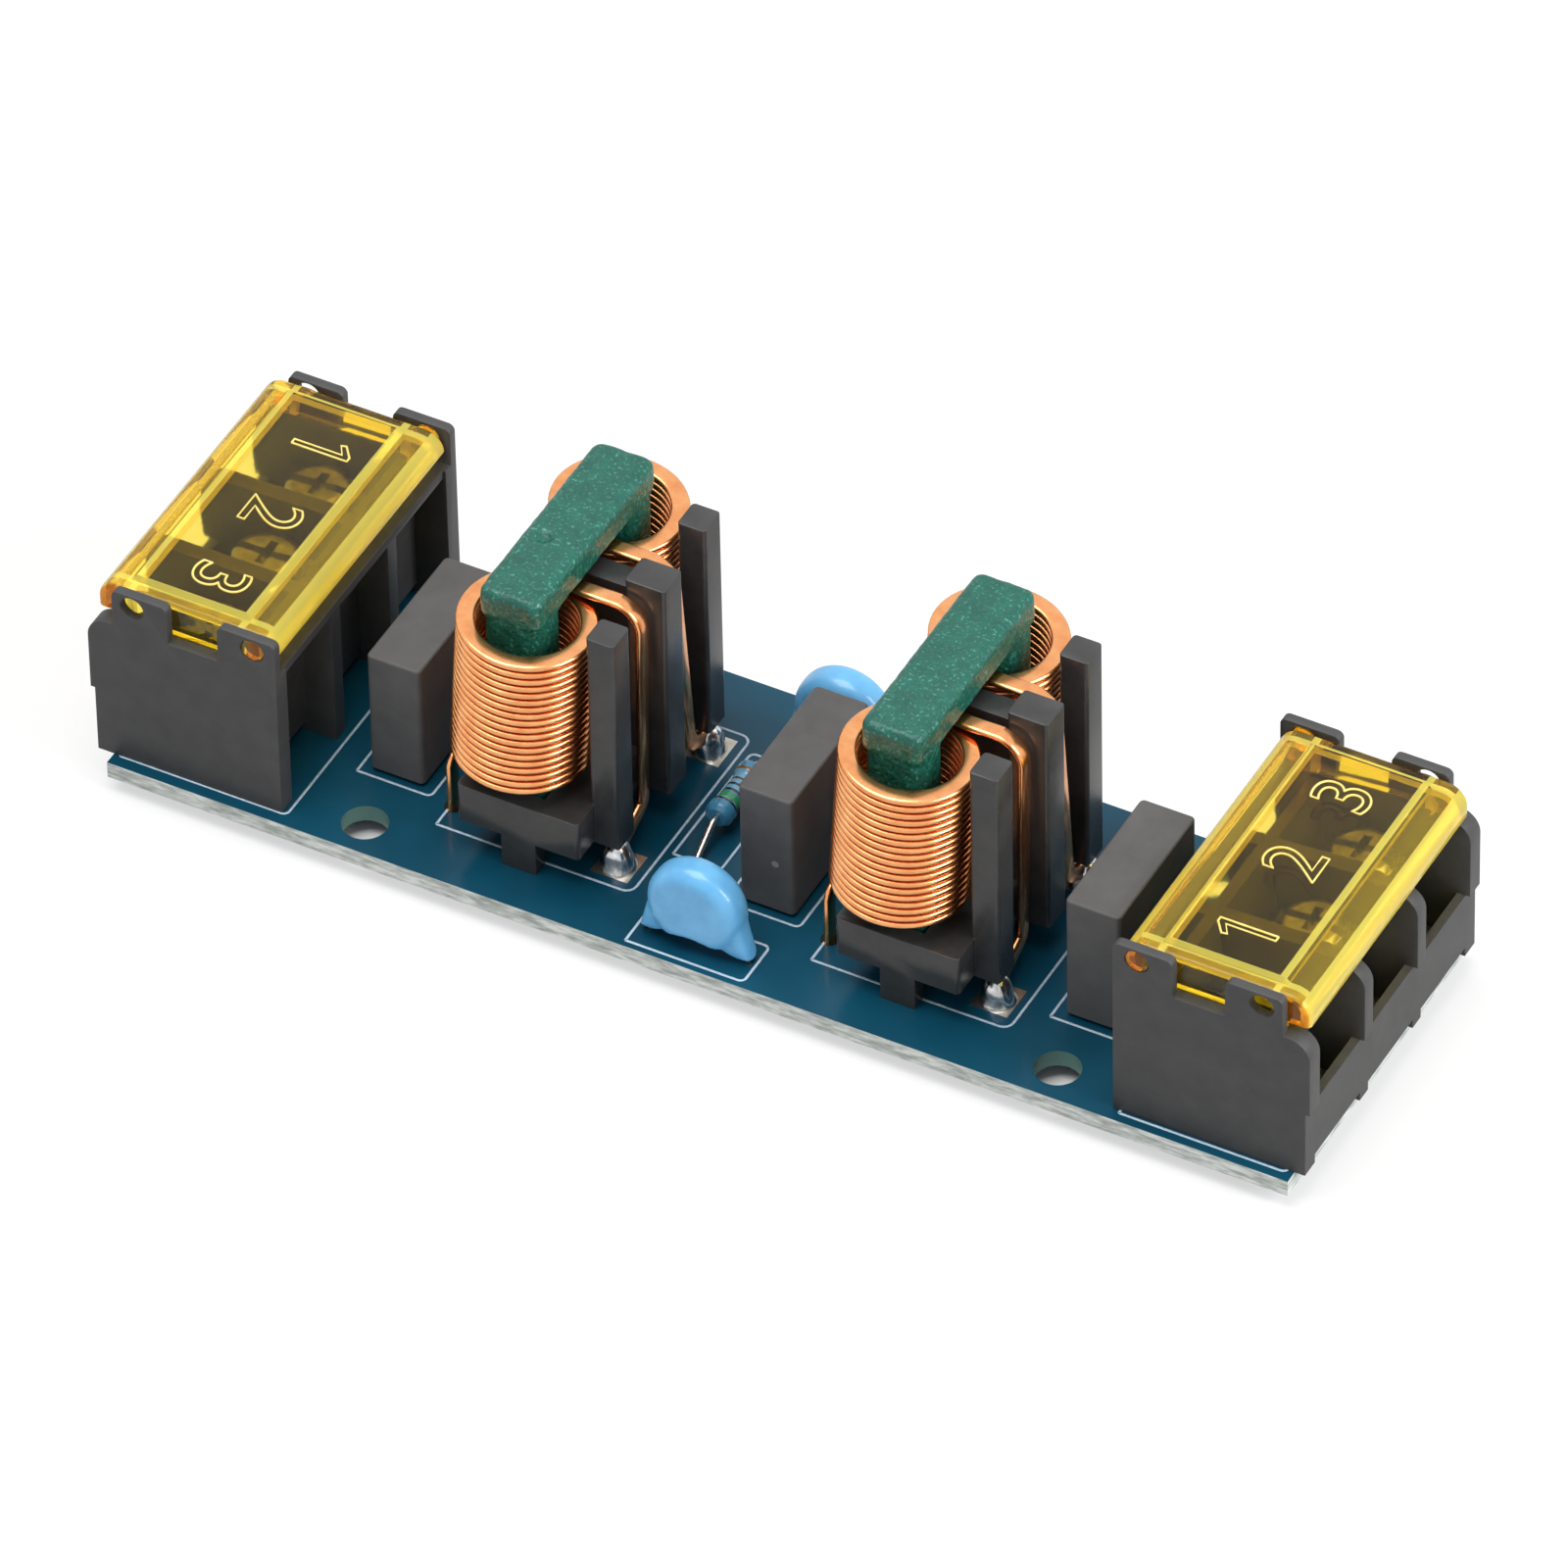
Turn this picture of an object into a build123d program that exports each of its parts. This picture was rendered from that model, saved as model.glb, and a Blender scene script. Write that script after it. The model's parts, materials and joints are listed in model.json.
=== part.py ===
from build123d import *
import math
import os

# Mains line filter on a printed board, in millimetres.
# X runs along the board, Y across it and Z up. The origin is under the middle
# of the board, on the plane that the trimmed lead ends stand on.

# Board
BOARD_L = 109.0
BOARD_W = 33.0
BOARD_T = 1.6
MOUNT_HOLE_R = 2.0
MOUNT_SPAN_X = 64.0
MOUNT_SPAN_Y = 26.4
LEAD_TAIL = 1.5
HOLE_GAP = 0.15
TOP = LEAD_TAIL + BOARD_T

# Terminal blocks, in their own directions: U outwards, V along the row, Z up
# from the board. U starts at the face towards the middle of the board.
LEFT_BLOCK_X = 38.65
RIGHT_BLOCK_X = 38.1
POLES = 3
POLE_PITCH = 9.5
PARTITION_T = 1.5
END_WALL_T = 1.8
BASE_DEPTH = 17.35
BARRIER_DEPTH = 17.75
BARRIER_TOP = 14.6
BARRIER_ROUND = 2.0
PARTITION_DROP = 0.3
RAIL_SETBACK = 0.3
RAIL_H = 0.9
RAIL_T = 1.2
BACK_WALL_U = 3.2
BACK_WALL_T = 1.1
CARRIER_END_U = 12.6
CARRIER_TOP = 7.4
LEDGE_TOP = 6.8
LEDGE_T = 0.8
PIT_FLOOR = 1.2
FOOT_H = 0.9
SCREW_WELL_R = 2.0
SCREW_WELL_FLOOR = 1.8

# Ears on the outer half of the end walls, which carry the cover between them
EAR_T = 0.9
EAR_TOP = 18.4
EAR_INNER_W = 5.4
EAR_OUTER_U = 10.1
EAR_OUTER_W = 5.2
EAR_ROUND = 0.6
EAR_HOLE_R = 1.1
HINGE_U = 2.15
HINGE_Z = 17.1
CATCH_U = 13.4

# Cover
COVER_T = 1.1
COVER_TOP = 18.1
COVER_PANEL_H = 0.4
COVER_PANEL_IN_U = 3.2
COVER_PANEL_OUT_U = 2.6
COVER_PANEL_END = 1.2
COVER_PANEL_BEVEL = 0.35
COVER_START_U = 0.3
COVER_END_U = 17.2
COVER_ROUND = 1.9
COVER_END_ROUND = 0.5
COVER_CHEEK_T = 0.9
COVER_END_GAP = 0.12
COVER_LIP_BOTTOM = 15.3
CHEEK_BOTTOM = 14.85
HINGE_LIP_BOTTOM = 16.4
CHEEK_HINGE_R = 1.85
PIN_GAP = 0.08
PIN_SETBACK = 0.15
CATCH_NUB_R = 0.8
CATCH_NUB_H = 0.08

# Contact plates, clamping washers and screws
PLATE_W = 7.0
PLATE_T = 0.9
PLATE_START_U = 5.0
PLATE_END_U = 13.4
PLATE_PIN_W = 1.2
PLATE_PIN_GAP = 0.1
SCREW_U = 9.8
SHANK_R = 1.5
SHANK_L = 6.4
THREAD_GAP = 0.06
SCREW_TIP_BEVEL = 0.4
WASHER_W = 6.8
WASHER_T = 1.1
WASHER_BEND = 0.5
WASHER_GAP = 0.2
HEAD_R = 2.9
HEAD_H = 2.4
HEAD_ROUND = 0.8
SLOT_W = 0.8
SLOT_DEPTH = 1.1

# Common mode chokes: a closed core with a standing coil on each leg
CHOKE_X = 17.5
CHOKE_Y = -0.25
CHOKE_CORE_X = -1.9
LEG_SPAN = 15.7
LEG_W = 5.8
LEG_D = 5.0
LEG_ROUND = 2.0
BAR_H = 3.0
BAR_ROUND = 0.8
WINDOW_H = 16.2
CORE_BOTTOM = 5.8

# Edge-wound coils of flat wire, which lean a little along the board
COIL_R = 5.85
COIL_LEAN = 4.0
WIRE_W = 1.6
WIRE_T = 0.62
TURNS = 19
TURN_STEPS = 18
COIL_PITCH = 0.775
COIL_LIFT = 0.35
LEAD_LAP = 0.3
LEAD_BEND_R = 2.4
BOTTOM_BEND_R = 1.0
LEAD_PIN_W = 1.2
TOP_LEAD_JOG_Z = 3.6
BOTTOM_LEAD_JOG_Z = 7.2
JOG_DROP = 2.6
UPPER_LEAD_X = 6.4
LOWER_LEAD_X = -9.0

# Plastic base of a choke
BASE_X = -0.55
BASE_W = 11.3
BASE_D = 24.3
BASE_BOTTOM = 3.3
BASE_TOP = 7.2
BASE_FLOOR_T = 1.5
BASE_EDGE = 0.4
CORE_GAP = 0.15
BASE_FOOT_W = 3.2
BASE_FOOT_D = 1.6
POST_W = 2.6
POST_D = 2.8
POST_TOP = 25.4
POST_X = 6.0
POST_BOTTOM = 3.0
POST_ROUND = 0.35
MID_POST_W = 3.7
MID_POST_D = 3.1
WALL_T = 2.3
WALL_TOP = 24.3
WALL_GAP = 0.3

# Film capacitors
FILM_X = (-32.2, 2.3, 32.2)
FILM_Y = -0.6
FILM_W = 5.0
FILM_D = 13.6
FILM_H = 12.4
FILM_STAND = 0.4
FILM_ROUND = 0.45
FILM_FOOT = 1.0
FILM_LEAD_SPAN = 10.0
FILM_LEAD_R = 0.4

# Disc capacitors
DISC_PLACES = ((-0.8, -13.4), (-0.9, 12.3))
DISC_R = 4.3
DISC_T = 3.4
DISC_CENTRE_Z = 4.4
DISC_EDGE_R = 1.35
DISC_LEAD_SPAN = 9.1
DISC_FOOT_R = 0.6
DISC_FOOT_TOP = 3.9
DISC_FOOT_BOTTOM = 0.5
DISC_SKIRT_T = 2.2
DISC_SKIRT_ROUND = 0.7
DISC_ARCH_H = 1.2
DISC_LEAD_R = 0.3

# Resistor
RES_X = -5.5
RES_Y = 1.75
RES_L = 6.6
RES_END_L = 1.7
RES_END_R = 1.25
RES_WAIST_R = 1.0
RES_AXIS_Z = 2.1
RES_LEAD_R = 0.3
RES_LEAD_SPAN = 14.5

# Solder
SOLDER_BELOW = 1.1
SOLDER_ABOVE = 1.9
PAD_EXTRA = 0.75
SOLDER_TIP_EXTRA = 0.25

# Values that follow from the sizes above
CELL_W = POLE_PITCH - PARTITION_T
ROW_L = (POLES - 1) * POLE_PITCH + CELL_W + 2 * END_WALL_T
BODY_HALF = ROW_L / 2
COVER_HALF = BODY_HALF - EAR_T - COVER_END_GAP
PLATE_TOP = CARRIER_TOP + PLATE_T
WASHER_TOP = PLATE_TOP + WASHER_T
COIL_BOTTOM = CORE_BOTTOM + BAR_H + COIL_LIFT
COIL_H = TURNS * COIL_PITCH
COIL_MEAN_R = COIL_R - WIRE_W / 2
TAIL_Z = -BOARD_T - LEAD_TAIL
LOW = (Align.CENTER, Align.CENTER, Align.MIN)


def block_of(x0, x1, y0, y1, z0, z1):
    """A straight block between two corners."""
    return Pos((x0 + x1) / 2, (y0 + y1) / 2, (z0 + z1) / 2) * Box(x1 - x0, y1 - y0, z1 - z0)


def pole_places():
    """Middle of each pole along the row of a terminal block."""
    first = -(POLES - 1) / 2 * POLE_PITCH
    return [first + n * POLE_PITCH for n in range(POLES)]


def on_board(shape, side=1):
    """Carries a shape of the right-hand block to its place, or turned to the left end."""
    if side > 0:
        return Pos(RIGHT_BLOCK_X, 0, TOP) * shape
    return (Pos(LEFT_BLOCK_X, 0, TOP) * shape).rotate(Axis.Z, 180)


def rod(x, y, z0, z1, radius):
    """An upright round rod."""
    return Pos(x, y, z0) * Cylinder(radius, z1 - z0, align=LOW)


# Terminal block housing


def wall_profile(start_u, top):
    """Outline of a partition or an end wall in U and Z, with the barrier's rounded shoulder."""
    edge = BARRIER_DEPTH
    with BuildSketch(Plane.XZ) as outline:
        with BuildLine():
            Polyline(
                (start_u, 0), (start_u, top), (edge, top), (edge, LEDGE_TOP),
                (BASE_DEPTH, LEDGE_TOP), (BASE_DEPTH, 0), (start_u, 0),
            )
        make_face()
        fillet(outline.vertices().group_by(Axis.Y)[-1].sort_by(Axis.X)[-1], BARRIER_ROUND)
    return outline.sketch


def upright_wall(centre_v, thickness, start_u, top):
    """A wall across the block with the given outline."""
    wall = extrude(wall_profile(start_u, top), thickness / 2, both=True)
    return Pos(0, centre_v, 0) * wall


def end_wall(end):
    """End wall with two thin ears on its outer half and a gap for a fingernail between them."""
    centre_v = end * (BODY_HALF - END_WALL_T / 2)
    wall = upright_wall(centre_v, END_WALL_T, 0, BARRIER_TOP)
    for u0, width in ((0, EAR_INNER_W), (EAR_OUTER_U, EAR_OUTER_W)):
        ear = Pos(u0 + width / 2, end * (BODY_HALF - EAR_T / 2), BARRIER_TOP - 1) * Box(
            width, EAR_T, EAR_TOP - BARRIER_TOP + 1, align=LOW
        )
        wall += fillet(ear.edges().filter_by(Axis.Y).group_by(Axis.Z)[-1], EAR_ROUND)
    return wall


def cell_insides(centre_v):
    """What stands between two walls: the back wall, the carrier, the floor and the ledge."""
    v0 = centre_v - CELL_W / 2 - PARTITION_T / 3
    v1 = centre_v + CELL_W / 2 + PARTITION_T / 3
    carrier = block_of(BACK_WALL_U, CARRIER_END_U, v0, v1, FOOT_H, CARRIER_TOP)
    back_top = BARRIER_TOP - PARTITION_DROP
    back = block_of(BACK_WALL_U, BACK_WALL_U + BACK_WALL_T, v0, v1, FOOT_H, back_top)
    floor = block_of(CARRIER_END_U, BASE_DEPTH, v0, v1, FOOT_H, FOOT_H + PIT_FLOOR)
    ledge = block_of(BASE_DEPTH - LEDGE_T, BASE_DEPTH, v0, v1, FOOT_H, LEDGE_TOP)
    return carrier + back + floor + ledge


def cell_cuts(centre_v):
    """Well for the end of the screw and slot for the pin of the contact plate."""
    well = rod(SCREW_U, centre_v, SCREW_WELL_FLOOR, CARRIER_TOP + 1, SCREW_WELL_R)
    half = PLATE_PIN_W / 2 + PLATE_PIN_GAP
    slot = block_of(
        PLATE_START_U - PLATE_PIN_GAP, PLATE_START_U + PLATE_T + PLATE_PIN_GAP,
        centre_v - half, centre_v + half, 0, CARRIER_TOP + 1,
    )
    return well + slot


def terminal_housing():
    """Moulded body of a three-pole barrier block with hinge ears."""
    body = end_wall(-1) + end_wall(1)
    rail_v = BODY_HALF - END_WALL_T / 2
    rail_u = RAIL_SETBACK + RAIL_T
    body += block_of(RAIL_SETBACK, rail_u, -rail_v, rail_v, BARRIER_TOP - RAIL_H, BARRIER_TOP)
    for centre_v in pole_places()[:-1]:
        wall_v = centre_v + POLE_PITCH / 2
        body += upright_wall(wall_v, PARTITION_T, RAIL_SETBACK, BARRIER_TOP - PARTITION_DROP)
    for centre_v in pole_places():
        body += cell_insides(centre_v)
        body -= cell_cuts(centre_v)
    for hole_u in (HINGE_U, CATCH_U):
        hole = Pos(hole_u, 0, HINGE_Z) * Rot(90, 0, 0) * Cylinder(EAR_HOLE_R, ROW_L + 2)
        body -= hole
    return body


# Hinged cover


def cover_section(inset):
    """Section of the cover in U and Z, moved inwards by the given amount."""
    u0 = COVER_START_U + inset
    u1 = COVER_END_U - inset
    top = COVER_TOP - inset
    bend = COVER_ROUND - inset
    low = CHEEK_BOTTOM - inset
    with BuildSketch(Plane.XZ) as outline:
        with BuildLine():
            Line((u0, low), (u0, top - bend))
            RadiusArc((u0, top - bend), (u0 + bend, top), bend)
            Line((u0 + bend, top), (u1 - bend, top))
            RadiusArc((u1 - bend, top), (u1, top - bend), bend)
            Line((u1, top - bend), (u1, low))
            Line((u1, low), (u0, low))
        make_face()
    return outline.sketch


def cover_panel():
    """Raised panel with bevelled edges on top of the cover."""
    u0 = COVER_START_U + COVER_PANEL_IN_U
    u1 = COVER_END_U - COVER_PANEL_OUT_U
    v = COVER_HALF - COVER_PANEL_END
    panel = block_of(u0, u1, -v, v, COVER_TOP - COVER_T / 2, COVER_TOP + COVER_PANEL_H)
    return chamfer(panel.faces().sort_by(Axis.Z)[-1].edges(), COVER_PANEL_BEVEL)


def cover_relief():
    """Room under both long edges, apart from the round ends of the cheeks about the hinge."""
    v = COVER_HALF + 1
    inner_edge = block_of(COVER_START_U - 1, HINGE_U, -v, v, CHEEK_BOTTOM - 1, HINGE_LIP_BOTTOM)
    for end in (-1, 1):
        cheek = Pos(HINGE_U, end * COVER_HALF, HINGE_Z) * Rot(90, 0, 0)
        inner_edge -= cheek * Cylinder(CHEEK_HINGE_R, 2 * COVER_CHEEK_T)
    lip_u = COVER_END_U - COVER_ROUND
    outer_edge = block_of(lip_u, COVER_END_U + 1, -v, v, CHEEK_BOTTOM - 1, COVER_LIP_BOTTOM)
    return inner_edge + outer_edge


def cover():
    """Clear hinged cover: a long tray with a raised panel, two cheeks, hinge pins and catches."""
    shell = extrude(cover_section(0), COVER_HALF, both=True)
    ends = shell.faces().filter_by(Axis.Y).edges().group_by(Axis.Z)
    shell = fillet([edge for edge in ends[-1] if edge.length > COVER_ROUND], COVER_END_ROUND)
    shell -= extrude(cover_section(COVER_T), COVER_HALF - COVER_CHEEK_T, both=True)
    shell += cover_panel()
    shell -= cover_relief()
    for end in (-1, 1):
        shell += hinge_pin(end) + catch_nub(end)
    return shell


def hinge_pin(end):
    """Short round pin on a cheek, which runs in the inner hole of an ear."""
    length = EAR_T + COVER_END_GAP - PIN_SETBACK
    middle = end * (COVER_HALF + length / 2)
    return Pos(HINGE_U, middle, HINGE_Z) * Rot(90, 0, 0) * Cylinder(EAR_HOLE_R - PIN_GAP, length)


def catch_nub(end):
    """Low dome on a cheek, behind the outer hole of an ear."""
    ball_r = (CATCH_NUB_R ** 2 + CATCH_NUB_H ** 2) / (2 * CATCH_NUB_H)
    ball = Pos(CATCH_U, end * (COVER_HALF + CATCH_NUB_H - ball_r), HINGE_Z) * Sphere(ball_r)
    v0, v1 = sorted((end * (COVER_HALF - COVER_CHEEK_T / 2), end * (COVER_HALF + 1)))
    return ball & block_of(
        CATCH_U - CATCH_NUB_R, CATCH_U + CATCH_NUB_R, v0, v1, HINGE_Z - CATCH_NUB_R, HINGE_Z + CATCH_NUB_R
    )


# Contacts


def contact_plate(centre_v):
    """Flat contact with a threaded hole and a pin turned down through the board."""
    half = PLATE_W / 2
    plate = block_of(PLATE_START_U, PLATE_END_U, centre_v - half, centre_v + half, CARRIER_TOP, PLATE_TOP)
    pin_half = PLATE_PIN_W / 2
    pin = block_of(
        PLATE_START_U, PLATE_START_U + PLATE_T, centre_v - pin_half, centre_v + pin_half, TAIL_Z, PLATE_TOP
    )
    return plate + pin - rod(SCREW_U, centre_v, CARRIER_TOP - 1, PLATE_TOP + 1, SHANK_R + THREAD_GAP)


def clamp_washer(centre_v):
    """Square clamping washer with its two cross edges turned down a little."""
    half = WASHER_W / 2
    washer = block_of(SCREW_U - half, SCREW_U + half, centre_v - half, centre_v + half, PLATE_TOP, WASHER_TOP)
    washer = fillet(washer.edges().filter_by(Axis.Z), WASHER_BEND)
    washer -= block_of(
        SCREW_U - half + WASHER_BEND, SCREW_U + half - WASHER_BEND,
        centre_v - half, centre_v + half, PLATE_TOP, PLATE_TOP + WASHER_T / 4,
    )
    return washer - rod(SCREW_U, centre_v, PLATE_TOP - 1, WASHER_TOP + 1, SHANK_R + WASHER_GAP)


def terminal_screw(centre_v):
    """Pan head screw with a crossed slot, its shank in the contact plate."""
    head = rod(SCREW_U, centre_v, WASHER_TOP, WASHER_TOP + HEAD_H, HEAD_R)
    head = fillet(head.edges().sort_by(Axis.Z)[-1], HEAD_ROUND)
    shank = rod(SCREW_U, centre_v, WASHER_TOP - SHANK_L, WASHER_TOP, SHANK_R)
    shank = chamfer(shank.edges().sort_by(Axis.Z)[0], SCREW_TIP_BEVEL)
    slot_z = WASHER_TOP + HEAD_H - SLOT_DEPTH / 2
    slot = Pos(SCREW_U, centre_v, slot_z) * Box(2 * HEAD_R, SLOT_W, SLOT_DEPTH)
    cross = Pos(SCREW_U, centre_v, slot_z) * Box(SLOT_W, HEAD_R, SLOT_DEPTH)
    return head + shank - slot - cross


# Chokes


def choke_core():
    """Closed rectangular core: two rounded legs between two bars."""
    length = LEG_SPAN + LEG_D
    low = CORE_BOTTOM
    bar = Pos(0, 0, low) * Box(LEG_W, length, BAR_H, align=LOW)
    bar = fillet(bar.edges().filter_by(Axis.Z), LEG_ROUND / 2)
    bar = fillet(bar.faces().sort_by(Axis.Z)[-1].edges(), BAR_ROUND)
    upper = Pos(0, 0, BAR_H + WINDOW_H) * bar
    lower = bar.mirror(Plane.XY.offset(low + BAR_H / 2))
    core = upper + lower
    for end in (-1, 1):
        leg = Pos(0, end * LEG_SPAN / 2, low + BAR_H / 2) * Box(LEG_W, LEG_D, WINDOW_H + BAR_H, align=LOW)
        core += fillet(leg.edges().filter_by(Axis.Z), LEG_ROUND)
    return Pos(CHOKE_CORE_X, 0, 0) * core


def turned_lead(start_x, bend_r, level, reach, drop_to):
    """Band that runs outwards along X at a level, then turns straight down at its reach."""
    inner = bend_r - WIRE_T / 2
    outer = bend_r + WIRE_T / 2
    centre_x = reach - bend_r
    flat = block_of(start_x, centre_x, -WIRE_W / 2, WIRE_W / 2, level - WIRE_T / 2, level + WIRE_T / 2)
    ring = Rot(90, 0, 0) * (Cylinder(outer, WIRE_W) - Cylinder(inner, WIRE_W))
    quarter = ring & block_of(0, outer, -WIRE_W, WIRE_W, 0, outer)
    bend = Pos(centre_x, 0, level - bend_r) * quarter
    down = block_of(
        reach - WIRE_T / 2, reach + WIRE_T / 2, -WIRE_W / 2, WIRE_W / 2, drop_to, level - bend_r
    )
    return flat + bend + down


def jogged_pin(reach, offset_y, jog_z):
    """End of a lead: it steps sideways to its hole, then stands through the board."""
    half = WIRE_W / 2
    pin_half = LEAD_PIN_W / 2
    x0 = reach - WIRE_T / 2
    with BuildSketch(Plane.YZ) as step:
        with BuildLine():
            Polyline(
                (-half, jog_z), (half, jog_z), (half, jog_z - half), (offset_y + half, jog_z - JOG_DROP),
                (offset_y + half, jog_z - JOG_DROP - half), (offset_y - half, jog_z - JOG_DROP - half),
                (offset_y - half, jog_z - JOG_DROP), (-half, jog_z - half), (-half, jog_z),
            )
        make_face()
    band = Pos(x0, 0, 0) * extrude(step.sketch, WIRE_T)
    pin = block_of(
        x0, x0 + WIRE_T, offset_y - pin_half, offset_y + pin_half, TAIL_Z, jog_z - JOG_DROP
    )
    return band + pin


def coil_turns():
    """The winding: flat wire on edge in an open helix, with both ends at the side of -Y."""
    sections = []
    for step in range(TURNS * TURN_STEPS + 1):
        turns = step / TURN_STEPS
        around = 2 * math.pi * turns - math.pi / 2
        out = (math.cos(around), math.sin(around), 0)
        middle = (COIL_MEAN_R * out[0], COIL_MEAN_R * out[1], COIL_PITCH * turns - COIL_H / 2)
        place = Plane(origin=middle, x_dir=out, z_dir=(-out[1], out[0], 0))
        sections.append(place * Rectangle(WIRE_W, WIRE_T))
    return loft(sections, ruled=True)


def coil(end):
    """Edge-wound coil on one leg with its two leads; end is -1 in front and 1 behind."""
    lean = math.radians(COIL_LEAN)
    start_x = COIL_H / 2 * math.sin(lean) - LEAD_LAP
    end_h = COIL_H / 2 * math.cos(lean)
    middle_z = COIL_BOTTOM + WIRE_T / 2 + end_h
    upper_reach = UPPER_LEAD_X - CHOKE_CORE_X
    upper = turned_lead(start_x, LEAD_BEND_R, middle_z + end_h, upper_reach, TOP_LEAD_JOG_Z)
    upper += jogged_pin(upper_reach, COIL_MEAN_R, TOP_LEAD_JOG_Z)
    lower_reach = CHOKE_CORE_X - LOWER_LEAD_X
    lower = turned_lead(start_x, BOTTOM_BEND_R, middle_z - end_h, lower_reach, BOTTOM_LEAD_JOG_Z)
    lower += jogged_pin(lower_reach, COIL_MEAN_R, BOTTOM_LEAD_JOG_Z)
    wound = Pos(0, 0, middle_z) * coil_turns().rotate(Axis.Y, COIL_LEAN)
    wound += Pos(0, -COIL_MEAN_R, 0) * (upper + lower.mirror(Plane.YZ))
    if end < 0:
        wound = wound.mirror(Plane.XZ)
    return Pos(CHOKE_CORE_X, end * LEG_SPAN / 2, 0) * wound


def choke_base():
    """Moulded base with a tray for the core, a wall between the coils and three posts."""
    tray = Pos(BASE_X, 0, BASE_BOTTOM) * Box(BASE_W, BASE_D, BASE_TOP - BASE_BOTTOM, align=LOW)
    tray = fillet(tray.edges().filter_by(Axis.Z), BASE_EDGE)
    bed_w = LEG_W + 2 * CORE_GAP
    bed_d = LEG_SPAN + LEG_D + 2 * CORE_GAP
    bed = Pos(CHOKE_CORE_X, 0, CORE_BOTTOM) * Box(bed_w, bed_d, BASE_TOP, align=LOW)
    hollow_h = CORE_BOTTOM - BASE_FLOOR_T - BASE_BOTTOM
    hollow = Pos(BASE_X, 0, BASE_BOTTOM) * Box(
        BASE_W - 2 * BASE_FLOOR_T, BASE_D - 2 * BASE_FLOOR_T, hollow_h, align=LOW
    )
    base = tray - bed - hollow
    left = BASE_X - BASE_W / 2 + BASE_EDGE
    wall = block_of(left, POST_X - 1, -WALL_T / 2, WALL_T / 2, BASE_TOP - 1, WALL_TOP)
    bar_room = CORE_BOTTOM + BAR_H + WALL_GAP
    under = Pos(CHOKE_CORE_X, 0, CORE_BOTTOM) * Box(bed_w, 2 * WALL_T, bar_room - CORE_BOTTOM, align=LOW)
    base += wall - under
    post_y = LEG_SPAN / 2
    for place in (-post_y, 0, post_y):
        width, depth = (POST_W, POST_D) if place else (MID_POST_W, MID_POST_D)
        post = Pos(POST_X, place, POST_BOTTOM) * Box(width, depth, POST_TOP - POST_BOTTOM, align=LOW)
        base += fillet(post.edges().filter_by(Axis.Z), POST_ROUND)
    for end in (-1, 1):
        foot_y = end * (BASE_D / 2 - BASE_FOOT_D / 2)
        base += Pos(BASE_X, foot_y, 0) * Box(BASE_FOOT_W, BASE_FOOT_D, BASE_BOTTOM + 1, align=LOW)
    return base


# Capacitors and resistor


def film_case():
    """Box of a film capacitor on four small corner feet."""
    case = Pos(0, 0, FILM_STAND) * Box(FILM_W, FILM_D, FILM_H, align=LOW)
    case = fillet(case.edges().filter_by(Axis.Z), FILM_ROUND)
    case = fillet(case.faces().sort_by(Axis.Z)[-1].edges(), FILM_ROUND / 2)
    for side in (-1, 1):
        for end in (-1, 1):
            x = side * (FILM_W / 2 - FILM_FOOT)
            y = end * (FILM_D / 2 - FILM_FOOT)
            case += Pos(x, y, 0) * Box(FILM_FOOT, FILM_FOOT, FILM_STAND + FILM_ROUND, align=LOW)
    for end in (-1, 1):
        case -= rod(0, end * FILM_LEAD_SPAN / 2, FILM_STAND - 1, FILM_STAND + 1, FILM_LEAD_R)
    return case


def film_leads():
    """Two straight leads of a film capacitor."""
    y = FILM_LEAD_SPAN / 2
    return [rod(0, end * y, TAIL_Z, FILM_STAND + 1, FILM_LEAD_R) for end in (-1, 1)]


def disc_body():
    """Dipped disc with a rounded rim and a skirt that runs down both leads, arched between them."""
    disc = Pos(0, 0, DISC_CENTRE_Z) * Rot(90, 0, 0) * Cylinder(DISC_R, DISC_T)
    disc = fillet(disc.edges().filter_by(GeomType.CIRCLE), DISC_EDGE_R)
    disc += disc_skirt()
    arch_half = DISC_LEAD_SPAN / 2 - DISC_FOOT_R
    arch_r = (arch_half ** 2 + DISC_ARCH_H ** 2) / (2 * DISC_ARCH_H)
    arch_z = DISC_FOOT_BOTTOM + DISC_ARCH_H - arch_r
    disc -= Pos(0, 0, arch_z) * Rot(90, 0, 0) * Cylinder(arch_r, 2 * DISC_T)
    for end in (-1, 1):
        disc -= rod(end * DISC_LEAD_SPAN / 2, 0, 0, DISC_FOOT_BOTTOM + 1, DISC_LEAD_R)
    return disc


def disc_skirt():
    """Thinner coating below the disc, which widens to the two leads."""
    foot_x = DISC_LEAD_SPAN / 2 + DISC_FOOT_R
    with BuildSketch(Plane.XZ) as outline:
        with BuildLine():
            Polyline(
                (-foot_x, DISC_FOOT_BOTTOM), (foot_x, DISC_FOOT_BOTTOM), (DISC_R, DISC_FOOT_TOP),
                (-DISC_R, DISC_FOOT_TOP), (-foot_x, DISC_FOOT_BOTTOM),
            )
        make_face()
    skirt = extrude(outline.sketch, DISC_SKIRT_T / 2, both=True)
    return fillet(skirt.faces().filter_by(Axis.Y).edges(), DISC_SKIRT_ROUND)


def disc_leads():
    """Two leads of a disc capacitor below its feet."""
    x = DISC_LEAD_SPAN / 2
    return [rod(end * x, 0, TAIL_Z, DISC_FOOT_BOTTOM + 1, DISC_LEAD_R) for end in (-1, 1)]


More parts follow.
